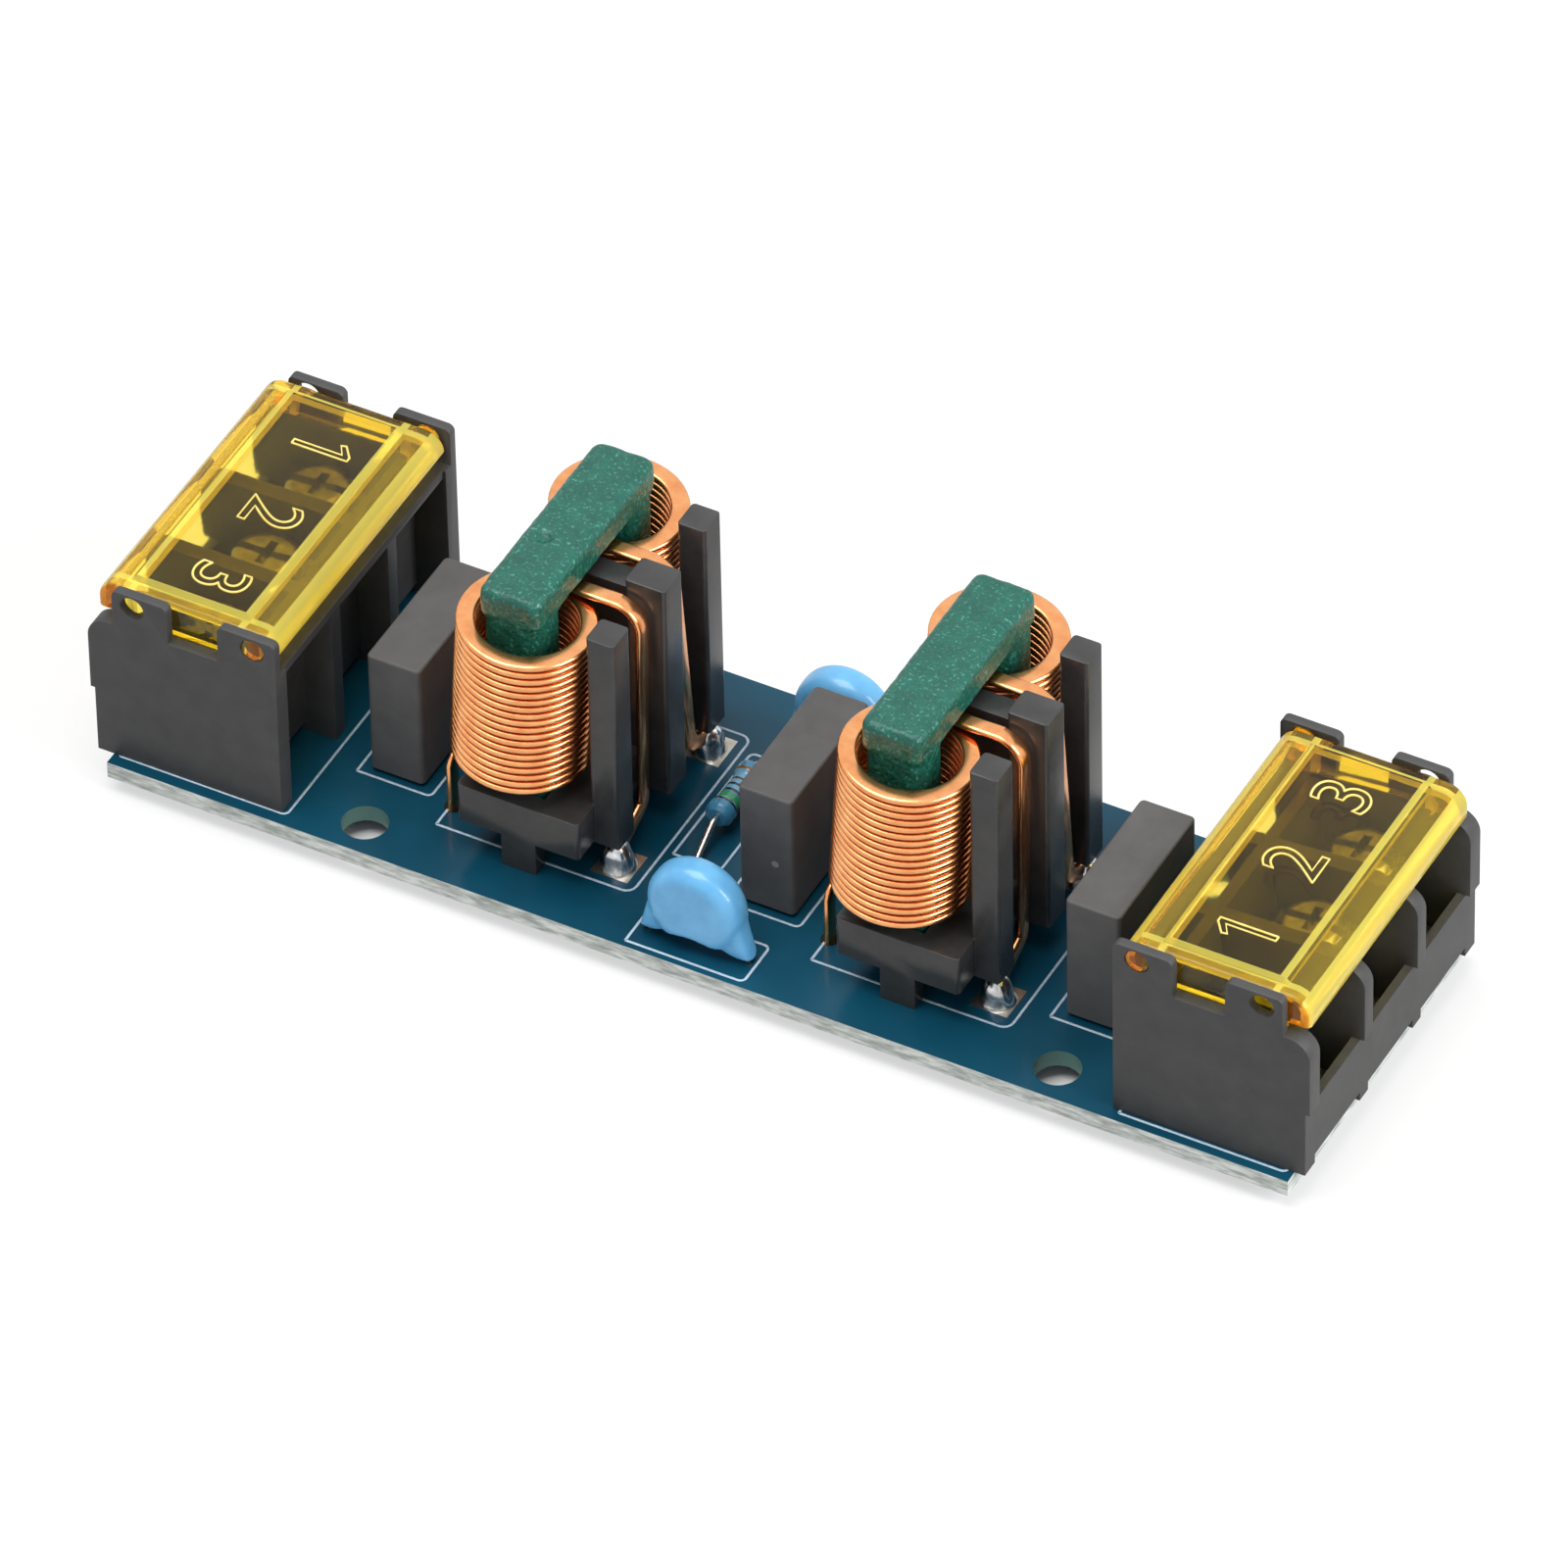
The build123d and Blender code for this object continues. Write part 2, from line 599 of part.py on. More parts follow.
def resistor_body():
    """Lacquered resistor body with two wider end caps, lying along Y."""
    half = RES_L / 2
    waist = half - RES_END_L
    with BuildSketch(Plane.YZ) as half_section:
        with BuildLine():
            Polyline(
                (-half, RES_LEAD_R), (-half, RES_END_R * 0.7), (-half + 0.4, RES_END_R),
                (-waist - 0.3, RES_END_R), (-waist, RES_WAIST_R), (waist, RES_WAIST_R),
                (waist + 0.3, RES_END_R), (half - 0.4, RES_END_R), (half, RES_END_R * 0.7),
                (half, RES_LEAD_R), (-half, RES_LEAD_R),
            )
        make_face()
    return Pos(0, 0, RES_AXIS_Z) * revolve(half_section.sketch, Axis.Y)


def resistor_leads():
    """One wire through the body, bent down to the board at both ends."""
    half = RES_LEAD_SPAN / 2
    turn = RES_L / 2 + 0.6
    low = TAIL_Z
    with BuildLine() as route:
        FilletPolyline(
            (0, -half, low), (0, -half, 0), (0, -turn, RES_AXIS_Z), (0, turn, RES_AXIS_Z),
            (0, half, 0), (0, half, low), radius=RES_LEAD_R * 1.6,
        )
    section = Plane(origin=(0, -half, low), z_dir=(0, 0, 1)) * Circle(RES_LEAD_R)
    return sweep(section, path=route.line)


# Places of everything that is soldered


def choke_pins():
    """Hole places of the four coil ends of a choke, from its own middle."""
    y = LEG_SPAN / 2
    return [(x, end * y) for x in (LOWER_LEAD_X, UPPER_LEAD_X) for end in (-1, 1)]


def soldered_places():
    """Every lead as X, Y and the radius that its hole needs."""
    places = []
    for side in (-1, 1):
        block_x = RIGHT_BLOCK_X if side > 0 else LEFT_BLOCK_X
        pin_x = side * (block_x + PLATE_START_U + PLATE_T / 2)
        pin_r = math.hypot(PLATE_PIN_W, PLATE_T) / 2
        places += [(pin_x, v, pin_r) for v in pole_places()]
        band_r = math.hypot(LEAD_PIN_W, WIRE_T) / 2
        places += [(side * CHOKE_X + x, CHOKE_Y + y, band_r) for x, y in choke_pins()]
    for x in FILM_X:
        places += [(x, FILM_Y + end * FILM_LEAD_SPAN / 2, FILM_LEAD_R) for end in (-1, 1)]
    for x, y in DISC_PLACES:
        places += [(x + end * DISC_LEAD_SPAN / 2, y, DISC_LEAD_R) for end in (-1, 1)]
    places += [(RES_X, RES_Y + end * RES_LEAD_SPAN / 2, RES_LEAD_R) for end in (-1, 1)]
    return places


def mount_places():
    """Middle of each of the four fixing holes."""
    return [(i * MOUNT_SPAN_X / 2, j * MOUNT_SPAN_Y / 2) for i in (-1, 1) for j in (-1, 1)]


def board():
    """Printed board with its fixing holes and lead holes."""
    plate = Pos(0, 0, LEAD_TAIL) * Box(BOARD_L, BOARD_W, BOARD_T, align=LOW)
    for x, y in mount_places():
        plate -= rod(x, y, 0, TOP + 1, MOUNT_HOLE_R)
    for x, y, radius in soldered_places():
        plate -= rod(x, y, 0, TOP + 1, radius + HOLE_GAP)
    return plate


def solder_joints(leads):
    """Solder cones under every lead, and on top round the outer choke leads."""
    cones = []
    for x, y, radius in soldered_places():
        cone = Cone(radius + SOLDER_TIP_EXTRA, radius + PAD_EXTRA, SOLDER_BELOW, align=LOW)
        cones.append(Pos(x, y, LEAD_TAIL - SOLDER_BELOW) * cone)
    band_r = math.hypot(LEAD_PIN_W, WIRE_T) / 2
    for side in (-1, 1):
        for x, y in choke_pins():
            if x > 0:
                cone = Cone(band_r + PAD_EXTRA, band_r + SOLDER_TIP_EXTRA, SOLDER_ABOVE, align=LOW)
                cones.append(Pos(side * CHOKE_X + x, CHOKE_Y + y, TOP) * cone)
    return [cut_by_leads(cone, leads) for cone in cones]


def cut_by_leads(cone, leads):
    """Takes the leads that run through a cone out of it."""
    for lead in leads:
        if boxes_meet(cone.bounding_box(), lead.bounding_box()):
            cone = cone - lead
    return cone


def boxes_meet(one, other):
    """True where two bounding boxes share room."""
    lows = zip(one.min, other.max)
    highs = zip(other.min, one.max)
    return all(low < high for low, high in [*lows, *highs])


def write(name, shapes):
    """Writes one node, whose file name is the node's name."""
    group = shapes if isinstance(shapes, list) else [shapes]
    solids = [solid for shape in group for solid in shape.solids()]
    export_step(solids[0] if len(solids) == 1 else Compound(children=solids), f"parts/{name}.step")


def write_blocks():
    """Writes both terminal blocks and returns their contact plates."""
    plates = []
    housing = terminal_housing()
    lid = cover()
    for side, end_name in ((-1, "left"), (1, "right")):
        write(f"terminal_housing_{end_name}", on_board(housing, side))
        write(f"terminal_cover_{end_name}", on_board(lid, side))
        for number, centre_v in enumerate(pole_places(), start=1):
            plates.append(on_board(contact_plate(centre_v), side))
            write(f"contact_plate_{end_name}_{number}", plates[-1])
            write(f"clamp_washer_{end_name}_{number}", on_board(clamp_washer(centre_v), side))
            write(f"terminal_screw_{end_name}_{number}", on_board(terminal_screw(centre_v), side))
    return plates


def write_chokes():
    """Writes both chokes and returns their coils."""
    coils = []
    core = choke_core()
    base = choke_base()
    wound = {"front": coil(-1), "rear": coil(1)}
    for side, name in ((-1, "left"), (1, "right")):
        place = Pos(side * CHOKE_X, CHOKE_Y, TOP)
        write(f"choke_core_{name}", place * core)
        write(f"choke_base_{name}", place * base)
        for end_name, turns in wound.items():
            coils.append(place * turns)
            write(f"choke_coil_{name}_{end_name}", coils[-1])
    return coils


def write_small_parts():
    """Writes the capacitors and the resistor and returns their leads."""
    leads = []
    case = film_case()
    for number, x in enumerate(FILM_X, start=1):
        place = Pos(x, FILM_Y, TOP)
        pair = [place * lead for lead in film_leads()]
        leads += pair
        write(f"film_capacitor_{number}", place * case)
        write(f"film_capacitor_leads_{number}", pair)
    disc = disc_body()
    for number, (x, y) in enumerate(DISC_PLACES, start=1):
        place = Pos(x, y, TOP)
        pair = [place * lead for lead in disc_leads()]
        leads += pair
        write(f"disc_capacitor_{number}", place * disc)
        write(f"disc_capacitor_leads_{number}", pair)
    place = Pos(RES_X, RES_Y, TOP)
    leads.append(place * resistor_leads())
    write("resistor_body", place * resistor_body())
    write("resistor_leads", leads[-1])
    return leads


def main():
    os.makedirs("parts", exist_ok=True)
    write("circuit_board", board())
    leads = write_blocks() + write_chokes() + write_small_parts()
    write("solder_joints", solder_joints(leads))


main()
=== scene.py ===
import json
import math

import bmesh
import bpy
from mathutils import Matrix, Vector, noise


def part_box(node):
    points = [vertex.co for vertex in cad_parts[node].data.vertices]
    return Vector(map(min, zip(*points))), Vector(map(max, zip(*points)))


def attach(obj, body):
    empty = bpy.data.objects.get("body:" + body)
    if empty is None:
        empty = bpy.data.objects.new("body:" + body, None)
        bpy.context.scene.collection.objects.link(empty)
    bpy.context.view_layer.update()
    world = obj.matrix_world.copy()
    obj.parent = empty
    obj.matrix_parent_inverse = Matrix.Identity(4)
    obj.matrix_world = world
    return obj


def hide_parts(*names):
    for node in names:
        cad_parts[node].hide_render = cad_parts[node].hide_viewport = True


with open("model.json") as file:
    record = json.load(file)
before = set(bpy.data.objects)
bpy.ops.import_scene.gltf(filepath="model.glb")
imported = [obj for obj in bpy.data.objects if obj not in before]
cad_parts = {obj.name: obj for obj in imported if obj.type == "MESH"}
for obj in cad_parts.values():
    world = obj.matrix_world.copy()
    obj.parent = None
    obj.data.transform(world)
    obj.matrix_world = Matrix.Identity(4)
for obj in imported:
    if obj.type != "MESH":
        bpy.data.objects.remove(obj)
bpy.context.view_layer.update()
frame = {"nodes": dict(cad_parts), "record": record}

MM = 0.001

# Camera, fitted to the photograph
EYE = (0.52185, -0.94531, 1.01255)
TARGET = (-0.00356, 0.00654, 0.0031)
LENS_MM = 414.36
SENSOR_MM = 36.0
ROLL_DEG = -1.278
CAMERA_REACH = 10

# Lamps: place, width and power
LAMPS = {
    "right_key": ((0.85, 0.05, 0.5), 0.5, 8),
    "top_fill": ((-0.15, -0.1, 0.9), 0.7, 7),
}
LAMP_AIM = (0, 0, 0.01)
SKY_STRENGTH = 0.4

# Edges of the mouldings
EDGE_ROUND = 0.12 * MM
COVER_EDGE_ROUND = 0.1 * MM
EDGE_STEPS = 2
EDGE_MIN_DEG = 35
FLAT_MAX_DEG = 0.5
JOIN_GAP = 0.001 * MM

# Coatings: cell size of the skin and rounds of smoothing
CORE_SKIN = (0.22 * MM, 6)
DISC_SKIN = (0.14 * MM, 14)
RESISTOR_SKIN = (0.07 * MM, 6)
LUMP_DEPTH = 0.05 * MM
LUMP_SIZE = 1.1 * MM
FINE_LUMP_SHARE = 0.5
FINE_LUMP_SCALE = 2.7
SKIN_EASE = 0.5

# Flat wire of the coils
TURNS = 19
PITCH = 0.775 * MM
MEAN_R = 5.05 * MM
WIRE_W = 1.6 * MM
WIRE_T = 0.58 * MM
WIRE_CORNER = 0.28 * MM
CORNER_STEPS = 3
LEAN_DEG = 4.0
TURN_POINTS = 56
LEG_SPAN = 15.7 * MM
COIL_LIFT = 9.15 * MM
UPPER_REACH = 8.3 * MM
LOWER_REACH = 7.1 * MM
UPPER_BEND = 2.4 * MM
LOWER_BEND = 1.0 * MM
UPPER_JOG = 3.6 * MM
LOWER_JOG = 7.2 * MM
JOG_DROP = 2.6 * MM
UPPER_SWEEP = {"front": 0.7 * MM, "rear": 1.8 * MM}
LEAD_LAP = 0.3 * MM
BEND_STEPS = 8
JOG_STEPS = 10

# Round mark pressed into the top of the left core
MARK_PLACE = (-20.17 * MM, -2.59 * MM)
MARK_R = 0.75 * MM
MARK_DEPTH = 0.4 * MM

# Small pale spot on the front of the middle film capacitor
SPOT_PLACE = (3.14 * MM, -7.4 * MM, 8.54 * MM)
SPOT_R = 0.33 * MM
SPOT_COLOUR = (0.27, 0.27, 0.27)

# Where a mottle starts to leave its dark colour and where it reaches its light one
MOTTLE_LOW = 0.3
MOTTLE_HIGH = 0.7

# Board: how far a face looks up or down before it is lacquered, and the holes' walls, unlike its outer edge:
# greenish, and darker with painted shade inside the holes
LACQUER_FACING = 0.5
SHADED_HOLE_WALL_COLOUR = (0.14, 0.28, 0.25)
EDGE_BAND = 0.1 * MM

# Rings of the resistor, as shares of its length: where each starts and its colour
RESISTOR_BODY = (0.05, 0.25, 0.42)
RESISTOR_PALE = (0.16, 0.42, 0.6)
RESISTOR_RINGS = (
    (0.0, RESISTOR_BODY), (0.17, (0.02, 0.02, 0.03)), (0.21, RESISTOR_PALE), (0.24, (0.03, 0.3, 0.12)),
    (0.36, RESISTOR_BODY), (0.39, (0.03, 0.02, 0.02)), (0.43, RESISTOR_PALE), (0.5, (0.02, 0.02, 0.02)),
    (0.54, RESISTOR_PALE), (0.61, (0.1, 0.03, 0.01)), (0.65, RESISTOR_PALE), (0.78, (0.2, 0.08, 0.01)),
    (0.83, RESISTOR_BODY),
)

# Printed lines
PRINT_W = 0.23 * MM
PRINT_H = 0.03 * MM
PRINT_CORNER_STEPS = 4

# Printed frames: corner radius, then left, right, front and rear side in millimetres from the board's middle
PRINT_FRAMES = {
    "small": (0.5 * MM, (
        (-35.65, -28.7, -8.0, 6.8),
        (-1.3, 5.65, -8.1, 6.8),
        (28.7, 35.4, -8.1, 6.8),
        (-6.3, 4.6, -15.85, -11.2),
        (-6.2, 4.4, 10.4, 15.0),
        (-7.7, -3.3, -5.0, 8.6),
        (-53.9, -38.2, -15.34, 15.34),
        (38.8, 53.9, -15.6, 15.3),
    )),
    "large": (0.9 * MM, (
        (-26.7, -8.5, -10.7, 10.2),
        (8.3, 26.4, -11.0, 10.0),
    )),
}

# Digits on the covers: height, its share of the type size, spacing and shift from the middle
DIGIT_H = 5.2 * MM
DIGIT_SHARE = 0.73
DIGIT_PITCH = 8.7 * MM
DIGIT_SHIFT = {"left": (0.47 * MM, -1.3 * MM), "right": (0.3 * MM, -0.4 * MM)}
DIGIT_LINE_R = 0.11 * MM
DIGIT_LINE_SIDES = 8

# Outline of the digit 1 about its middle, in shares of its height
ONE_OUTLINE = (
    (0.05, -0.5), (0.05, 0.5), (-0.04, 0.5), (-0.26, 0.33),
    (-0.24, 0.24), (-0.05, 0.36), (-0.05, -0.5), (0.05, -0.5),
)

# Bands across a cover, as shares of its width from the hinge: where each starts and what it looks like; the
# lighter, less clear bands along its edges and ribs are painted highlights
COVER_BANDS = (
    (0.0, "painted_highlight"), (0.07, "amber"), (0.18, "painted_highlight"), (0.22, "clear"),
    (0.795, "painted_highlight"), (0.83, "amber"), (0.95, "painted_highlight"),
)
BAND_COLOURS = {"painted_highlight": (1.0, 0.86, 0.14), "amber": (1.0, 0.82, 0.1), "clear": (1.0, 0.88, 0.16)}
BAND_CLEARNESS = {"painted_highlight": 0.55, "amber": 0.92, "clear": 1.0}
COVER_DEPTH_COLOUR = (1.0, 0.7, 0.05, 1)
COVER_DENSITY = 220.0

# Painted highlight lines across a cover near its ends, and the orange end faces beside its long edges
RIM_FROM_MIDDLE = 13.0 * MM
RIM_HALF_W = 0.32 * MM
END_FACE_COLOUR = (1.0, 0.4, 0.02)
END_FACE_FROM_MIDDLE = 0.36
END_FACING = 0.7

# Floor: its colour when seen and when light bounces off it, and the share of plain white for the camera,
# which is left out under the board as painted shade
FLOOR_SIZE = 6
FLOOR_SEEN = (0.92, 0.92, 0.92)
FLOOR_BOUNCED = (0.6, 0.6, 0.6)
FLOOR_WHITE_SHARE = 0.6
FLOOR_SHADE_INSET = 3 * MM

# Solder drops and their pads
BLOB_R = 1.65 * MM
BLOB_H = 2.6 * MM
BLOB_RINGS = 16
BLOB_SIDES = 32
BLOB_ROUNDNESS = 2.4
BLOB_TIP_SHARE = 0.14
BLOB_TIP_POWER = 4
BLOB_LUMP = 0.14
BLOB_LUMPS_ROUND = 0.9
BLOB_LUMPS_UP = 1.6
PAD_SIZE = 3.5 * MM
PAD_T = 0.04 * MM


def box_of(node):
    """Lowest and highest corner of a CAD node as vectors."""
    low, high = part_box(node)
    return Vector(low), Vector(high)


def middle_of(node):
    """Middle of a CAD node's box as a vector."""
    low, high = box_of(node)
    return (low + high) / 2


BOARD_HIGH = box_of("circuit_board")[1]
BOARD_TOP = BOARD_HIGH.z


# Node trees


class Net:
    """A node tree being built, for a finish or for a form."""

    def __init__(self, tree):
        self.tree = tree

    def node(self, kind, values=None, **settings):
        """Adds a node, sets its own settings and then its sockets."""
        made = self.tree.nodes.new(kind)
        for name, value in settings.items():
            setattr(made, name, value)
        for socket, value in (values or {}).items():
            made.inputs[socket].default_value = value
        return made

    def join(self, source, target):
        """Links an output socket to an input socket."""
        self.tree.links.new(source, target)

    def combine(self, operation, first, second):
        """One value from two: MULTIPLY is 1 where both are 1, MAXIMUM where either is."""
        made = self.node("ShaderNodeMath", operation=operation)
        self.join(first, made.inputs[0])
        self.join(second, made.inputs[1])
        return made.outputs[0]


class Form(Net):
    """A Geometry Nodes tree with named sizes."""

    def __init__(self, name):
        super().__init__(bpy.data.node_groups.new(name, "GeometryNodeTree"))
        face = self.tree.interface
        face.new_socket(name="Geometry", in_out="INPUT", socket_type="NodeSocketGeometry")
        face.new_socket(name="Geometry", in_out="OUTPUT", socket_type="NodeSocketGeometry")
        self.start = self.node("NodeGroupInput")
        self.end = self.node("NodeGroupOutput")
        self.keys = {}

    def size(self, name, kind="NodeSocketFloat"):
        """Adds a named input and returns its socket inside the tree."""
        socket = self.tree.interface.new_socket(name=name, in_out="INPUT", socket_type=kind)
        self.keys[name] = socket.identifier
        return self.start.outputs[name]

    def close(self, geometry):
        """Ends the tree in real geometry with its finish."""
        real = self.node("GeometryNodeRealizeInstances")
        finish = self.node("GeometryNodeSetMaterial")
        self.join(geometry, real.inputs[0])
        self.join(real.outputs[0], finish.inputs["Geometry"])
        self.join(self.size("Finish", "NodeSocketMaterial"), finish.inputs["Material"])
        self.join(finish.outputs[0], self.end.inputs[0])

    def grow(self, name, sizes, mesh):
        """Runs the tree on a mesh and returns the result as a plain object."""
        thing = bpy.data.objects.new(name, mesh)
        bpy.context.scene.collection.objects.link(thing)
        modifier = thing.modifiers.new("form", "NODES")
        modifier.node_group = self.tree
        for size, value in sizes.items():
            modifier[self.keys[size]] = value
        return made_plain(thing)


def made_plain(thing):
    """Turns an object with modifiers into a plain mesh with the same shape."""
    graph = bpy.context.evaluated_depsgraph_get()
    mesh = bpy.data.meshes.new_from_object(thing.evaluated_get(graph))
    thing.modifiers.clear()
    thing.data = mesh
    return thing


# Finishes


class Finish(Net):
    """A node material with one Principled shader."""

    def __init__(self, name, **values):
        self.material = bpy.data.materials.new(name)
        self.material.use_nodes = True
        super().__init__(self.material.node_tree)
        self.tree.nodes.clear()
        self.output = self.node("ShaderNodeOutputMaterial")
        self.shader = self.node("ShaderNodeBsdfPrincipled")
        self.join(self.shader.outputs[0], self.output.inputs["Surface"])
        for key, value in values.items():
            self.shader.inputs[key.replace("_", " ")].default_value = value
        place = self.node("ShaderNodeTexCoord")
        self.place = place.outputs["Object"]
        self.facing = place.outputs["Normal"]

    def stretched(self, scale, centre=(0, 0, 0)):
        """Object coordinates, scaled about a point."""
        mapping = self.node("ShaderNodeMapping", {"Scale": scale})
        mapping.inputs["Location"].default_value = [-c * s for c, s in zip(centre, scale)]
        self.join(self.place, mapping.inputs["Vector"])
        return mapping.outputs["Vector"]

    def mottle(self, size, detail=3.0, stretch=(1, 1, 1), rough=0.55):
        """A noise whose spots have about the given size."""
        spots = self.node("ShaderNodeTexNoise", {"Scale": 1 / size, "Detail": detail, "Roughness": rough})
        self.join(self.stretched(stretch), spots.inputs["Vector"])
        return spots.outputs["Fac"]

    def pebbles(self, size):
        """Rounded cells of about the given size."""
        cells = self.node("ShaderNodeTexVoronoi", {"Scale": 1 / size, "Smoothness": 0.6}, feature="SMOOTH_F1")
        self.join(self.place, cells.inputs["Vector"])
        return cells.outputs["Distance"]

    def ramp(self, factor, *stops, interpolation="LINEAR"):
        """Colours by a factor; a stop is a position and a colour."""
        band = self.node("ShaderNodeValToRGB")
        band.color_ramp.interpolation = interpolation
        marks = band.color_ramp.elements
        while len(marks) < len(stops):
            marks.new(0.5)
        for mark, (position, colour) in zip(marks, stops):
            mark.position = position
            mark.color = (*colour, 1)
        self.join(factor, band.inputs["Fac"])
        return band.outputs["Color"]

    def between(self, factor, dark, light):
        """From a dark to a light colour over the middle of a mottle."""
        return self.ramp(factor, (MOTTLE_LOW, dark), (MOTTLE_HIGH, light))

    def blend(self, factor, first, second):
        """The first colour where the factor is 0, the second where it is 1; each a socket or a colour."""
        mix = self.node("ShaderNodeMix", data_type="RGBA")
        self.join(factor, mix.inputs["Factor"])
        for name, side in (("A", first), ("B", second)):
            if isinstance(side, tuple):
                mix.inputs[name].default_value = (*side, 1)
            else:
                self.join(side, mix.inputs[name])
        return mix.outputs["Result"]

    def along(self, vector, axis):
        """How far a vector reaches along one axis."""
        parts = self.node("ShaderNodeSeparateXYZ")
        self.join(vector, parts.inputs[0])
        return parts.outputs[axis]

    def size_along(self, vector, axis):
        """How far a vector reaches along one axis, whatever its sign."""
        size = self.node("ShaderNodeMath", operation="ABSOLUTE")
        self.join(self.along(vector, axis), size.inputs[0])
        return size.outputs[0]

    def above(self, value, limit):
        """1 where the value is over the limit, 0 elsewhere."""
        choose = self.node("ShaderNodeMath", {1: limit}, operation="GREATER_THAN")
        self.join(value, choose.inputs[0])
        return choose.outputs[0]

    def outside(self, half_x, half_y):
        """1 outside a rectangle about the middle of the board, 0 inside."""
        far_x = self.above(self.size_along(self.place, "X"), half_x)
        far_y = self.above(self.size_along(self.place, "Y"), half_y)
        return self.combine("MAXIMUM", far_x, far_y)

    def away(self, point):
        """Distance from a point."""
        gap = self.node("ShaderNodeVectorMath", {1: point}, operation="DISTANCE")
        self.join(self.place, gap.inputs[0])
        return gap.outputs["Value"]

    def colour(self, socket):
        """Uses a socket as the base colour."""
        self.join(socket, self.shader.inputs["Base Color"])

    def relief(self, height, depth, strength=1.0, under=None):
        """Bump of the given depth, over another bump if one is given."""
        bump = self.node("ShaderNodeBump", {"Strength": strength, "Distance": depth})
        self.join(height, bump.inputs["Height"])
        if under:
            self.join(under, bump.inputs["Normal"])
        self.join(bump.outputs["Normal"], self.shader.inputs["Normal"])
        return bump.outputs["Normal"]


def board_lacquer():
    """Blue solder lacquer on both sides, pale glass fibre on the cut edges and greenish hole walls, darker
    than the outer edge as painted shade inside the holes.
    """
    finish = Finish(
        "board_lacquer", Roughness=0.3, Specular_IOR_Level=0.25, Coat_Weight=0.1, Coat_Roughness=0.12
    )
    blue = finish.between(finish.mottle(9 * MM, detail=2), (0.002, 0.051, 0.09), (0.005, 0.074, 0.13))
    fibre = finish.mottle(0.35 * MM, detail=4, stretch=(0.2, 0.2, 1))
    cut = finish.ramp(fibre, (0.35, (0.36, 0.4, 0.38)), (0.65, (0.8, 0.83, 0.8)))
    outer = finish.outside(BOARD_HIGH.x - EDGE_BAND, BOARD_HIGH.y - EDGE_BAND)
    # Hole walls: greenish, and darker than the outer edge as painted shade inside the holes.
    edge = finish.blend(outer, SHADED_HOLE_WALL_COLOUR, cut)
    lacquered = finish.above(finish.size_along(finish.facing, "Z"), LACQUER_FACING)
    finish.colour(finish.blend(lacquered, edge, blue))
    finish.relief(finish.mottle(0.35 * MM, detail=2), 0.01 * MM, 0.4)
    return finish.material


def moulded_grey(name, dark, light, roughness, grain, spot=None, gloss=0.3):
    """Dark grey moulding with a fine eroded grain, and a small pale spot if its place is given."""
    finish = Finish(name, Roughness=roughness, Specular_IOR_Level=gloss)
    grey = finish.between(finish.mottle(2.5 * MM, detail=5), (dark,) * 3, (light,) * 3)
    if spot:
        grey = finish.blend(finish.above(finish.away(spot), SPOT_R), SPOT_COLOUR, grey)
    finish.colour(grey)
    finish.relief(finish.mottle(grain, detail=3), 0.02 * MM, 0.5)
    return finish.material


def clear_amber(side):
    """Clear amber moulding: see-through in the panel, with painted highlights along its ribs and edges, where
    it is lighter and less clear.
    """
    finish = Finish(f"clear_amber_{side}", Roughness=0.08, IOR=1.34)
    low, high = box_of(f"terminal_cover_{side}")
    hinge_x, way = (low.x, 1) if side == "right" else (high.x, -1)
    width = high.x - low.x
    share = finish.along(finish.stretched((way / width, 1, 1), centre=(hinge_x, 0, 0)), "X")
    # Lighter, less clear bands along the edges and ribs: painted highlights.
    tints = [(start, BAND_COLOURS[look]) for start, look in COVER_BANDS]
    tint = finish.ramp(share, *tints, interpolation="CONSTANT")
    shares = [(start, (BAND_CLEARNESS[look],) * 3) for start, look in COVER_BANDS]
    clearness = finish.ramp(share, *shares, interpolation="CONSTANT")
    # Painted highlight lines across the cover near its ends.
    painted_rim_highlight = finish.node("ShaderNodeMath", {1: RIM_FROM_MIDDLE, 2: RIM_HALF_W}, operation="COMPARE")
    finish.join(finish.size_along(finish.place, "Y"), painted_rim_highlight.inputs[0])
    tint = finish.blend(painted_rim_highlight.outputs[0], tint, BAND_COLOURS["painted_highlight"])
    clearness = finish.blend(painted_rim_highlight.outputs[0], clearness, (BAND_CLEARNESS["painted_highlight"],) * 3)
    about_middle = finish.stretched((1 / width, 1, 1), centre=((low.x + high.x) / 2, 0, 0))
    long_edge = finish.above(finish.size_along(about_middle, "X"), END_FACE_FROM_MIDDLE)
    end_face = finish.above(finish.size_along(finish.facing, "Y"), END_FACING)
    finish.colour(finish.blend(finish.combine("MULTIPLY", end_face, long_edge), tint, END_FACE_COLOUR))
    finish.join(clearness, finish.shader.inputs["Transmission Weight"])
    finish.relief(finish.mottle(1.2 * MM, detail=1), 0.05 * MM, 0.2)
    depth = finish.node("ShaderNodeVolumeAbsorption", {"Color": COVER_DEPTH_COLOUR, "Density": COVER_DENSITY})
    finish.join(depth.outputs[0], finish.output.inputs["Volume"])
    return finish.material


def digit_amber():
    """Raised lines of the digits, which catch the light."""
    finish = Finish("digit_amber", Roughness=0.25, IOR=1.45)
    finish.colour(finish.between(finish.mottle(1 * MM), (0.85, 0.62, 0.12), (0.95, 0.78, 0.25)))
    return finish.material


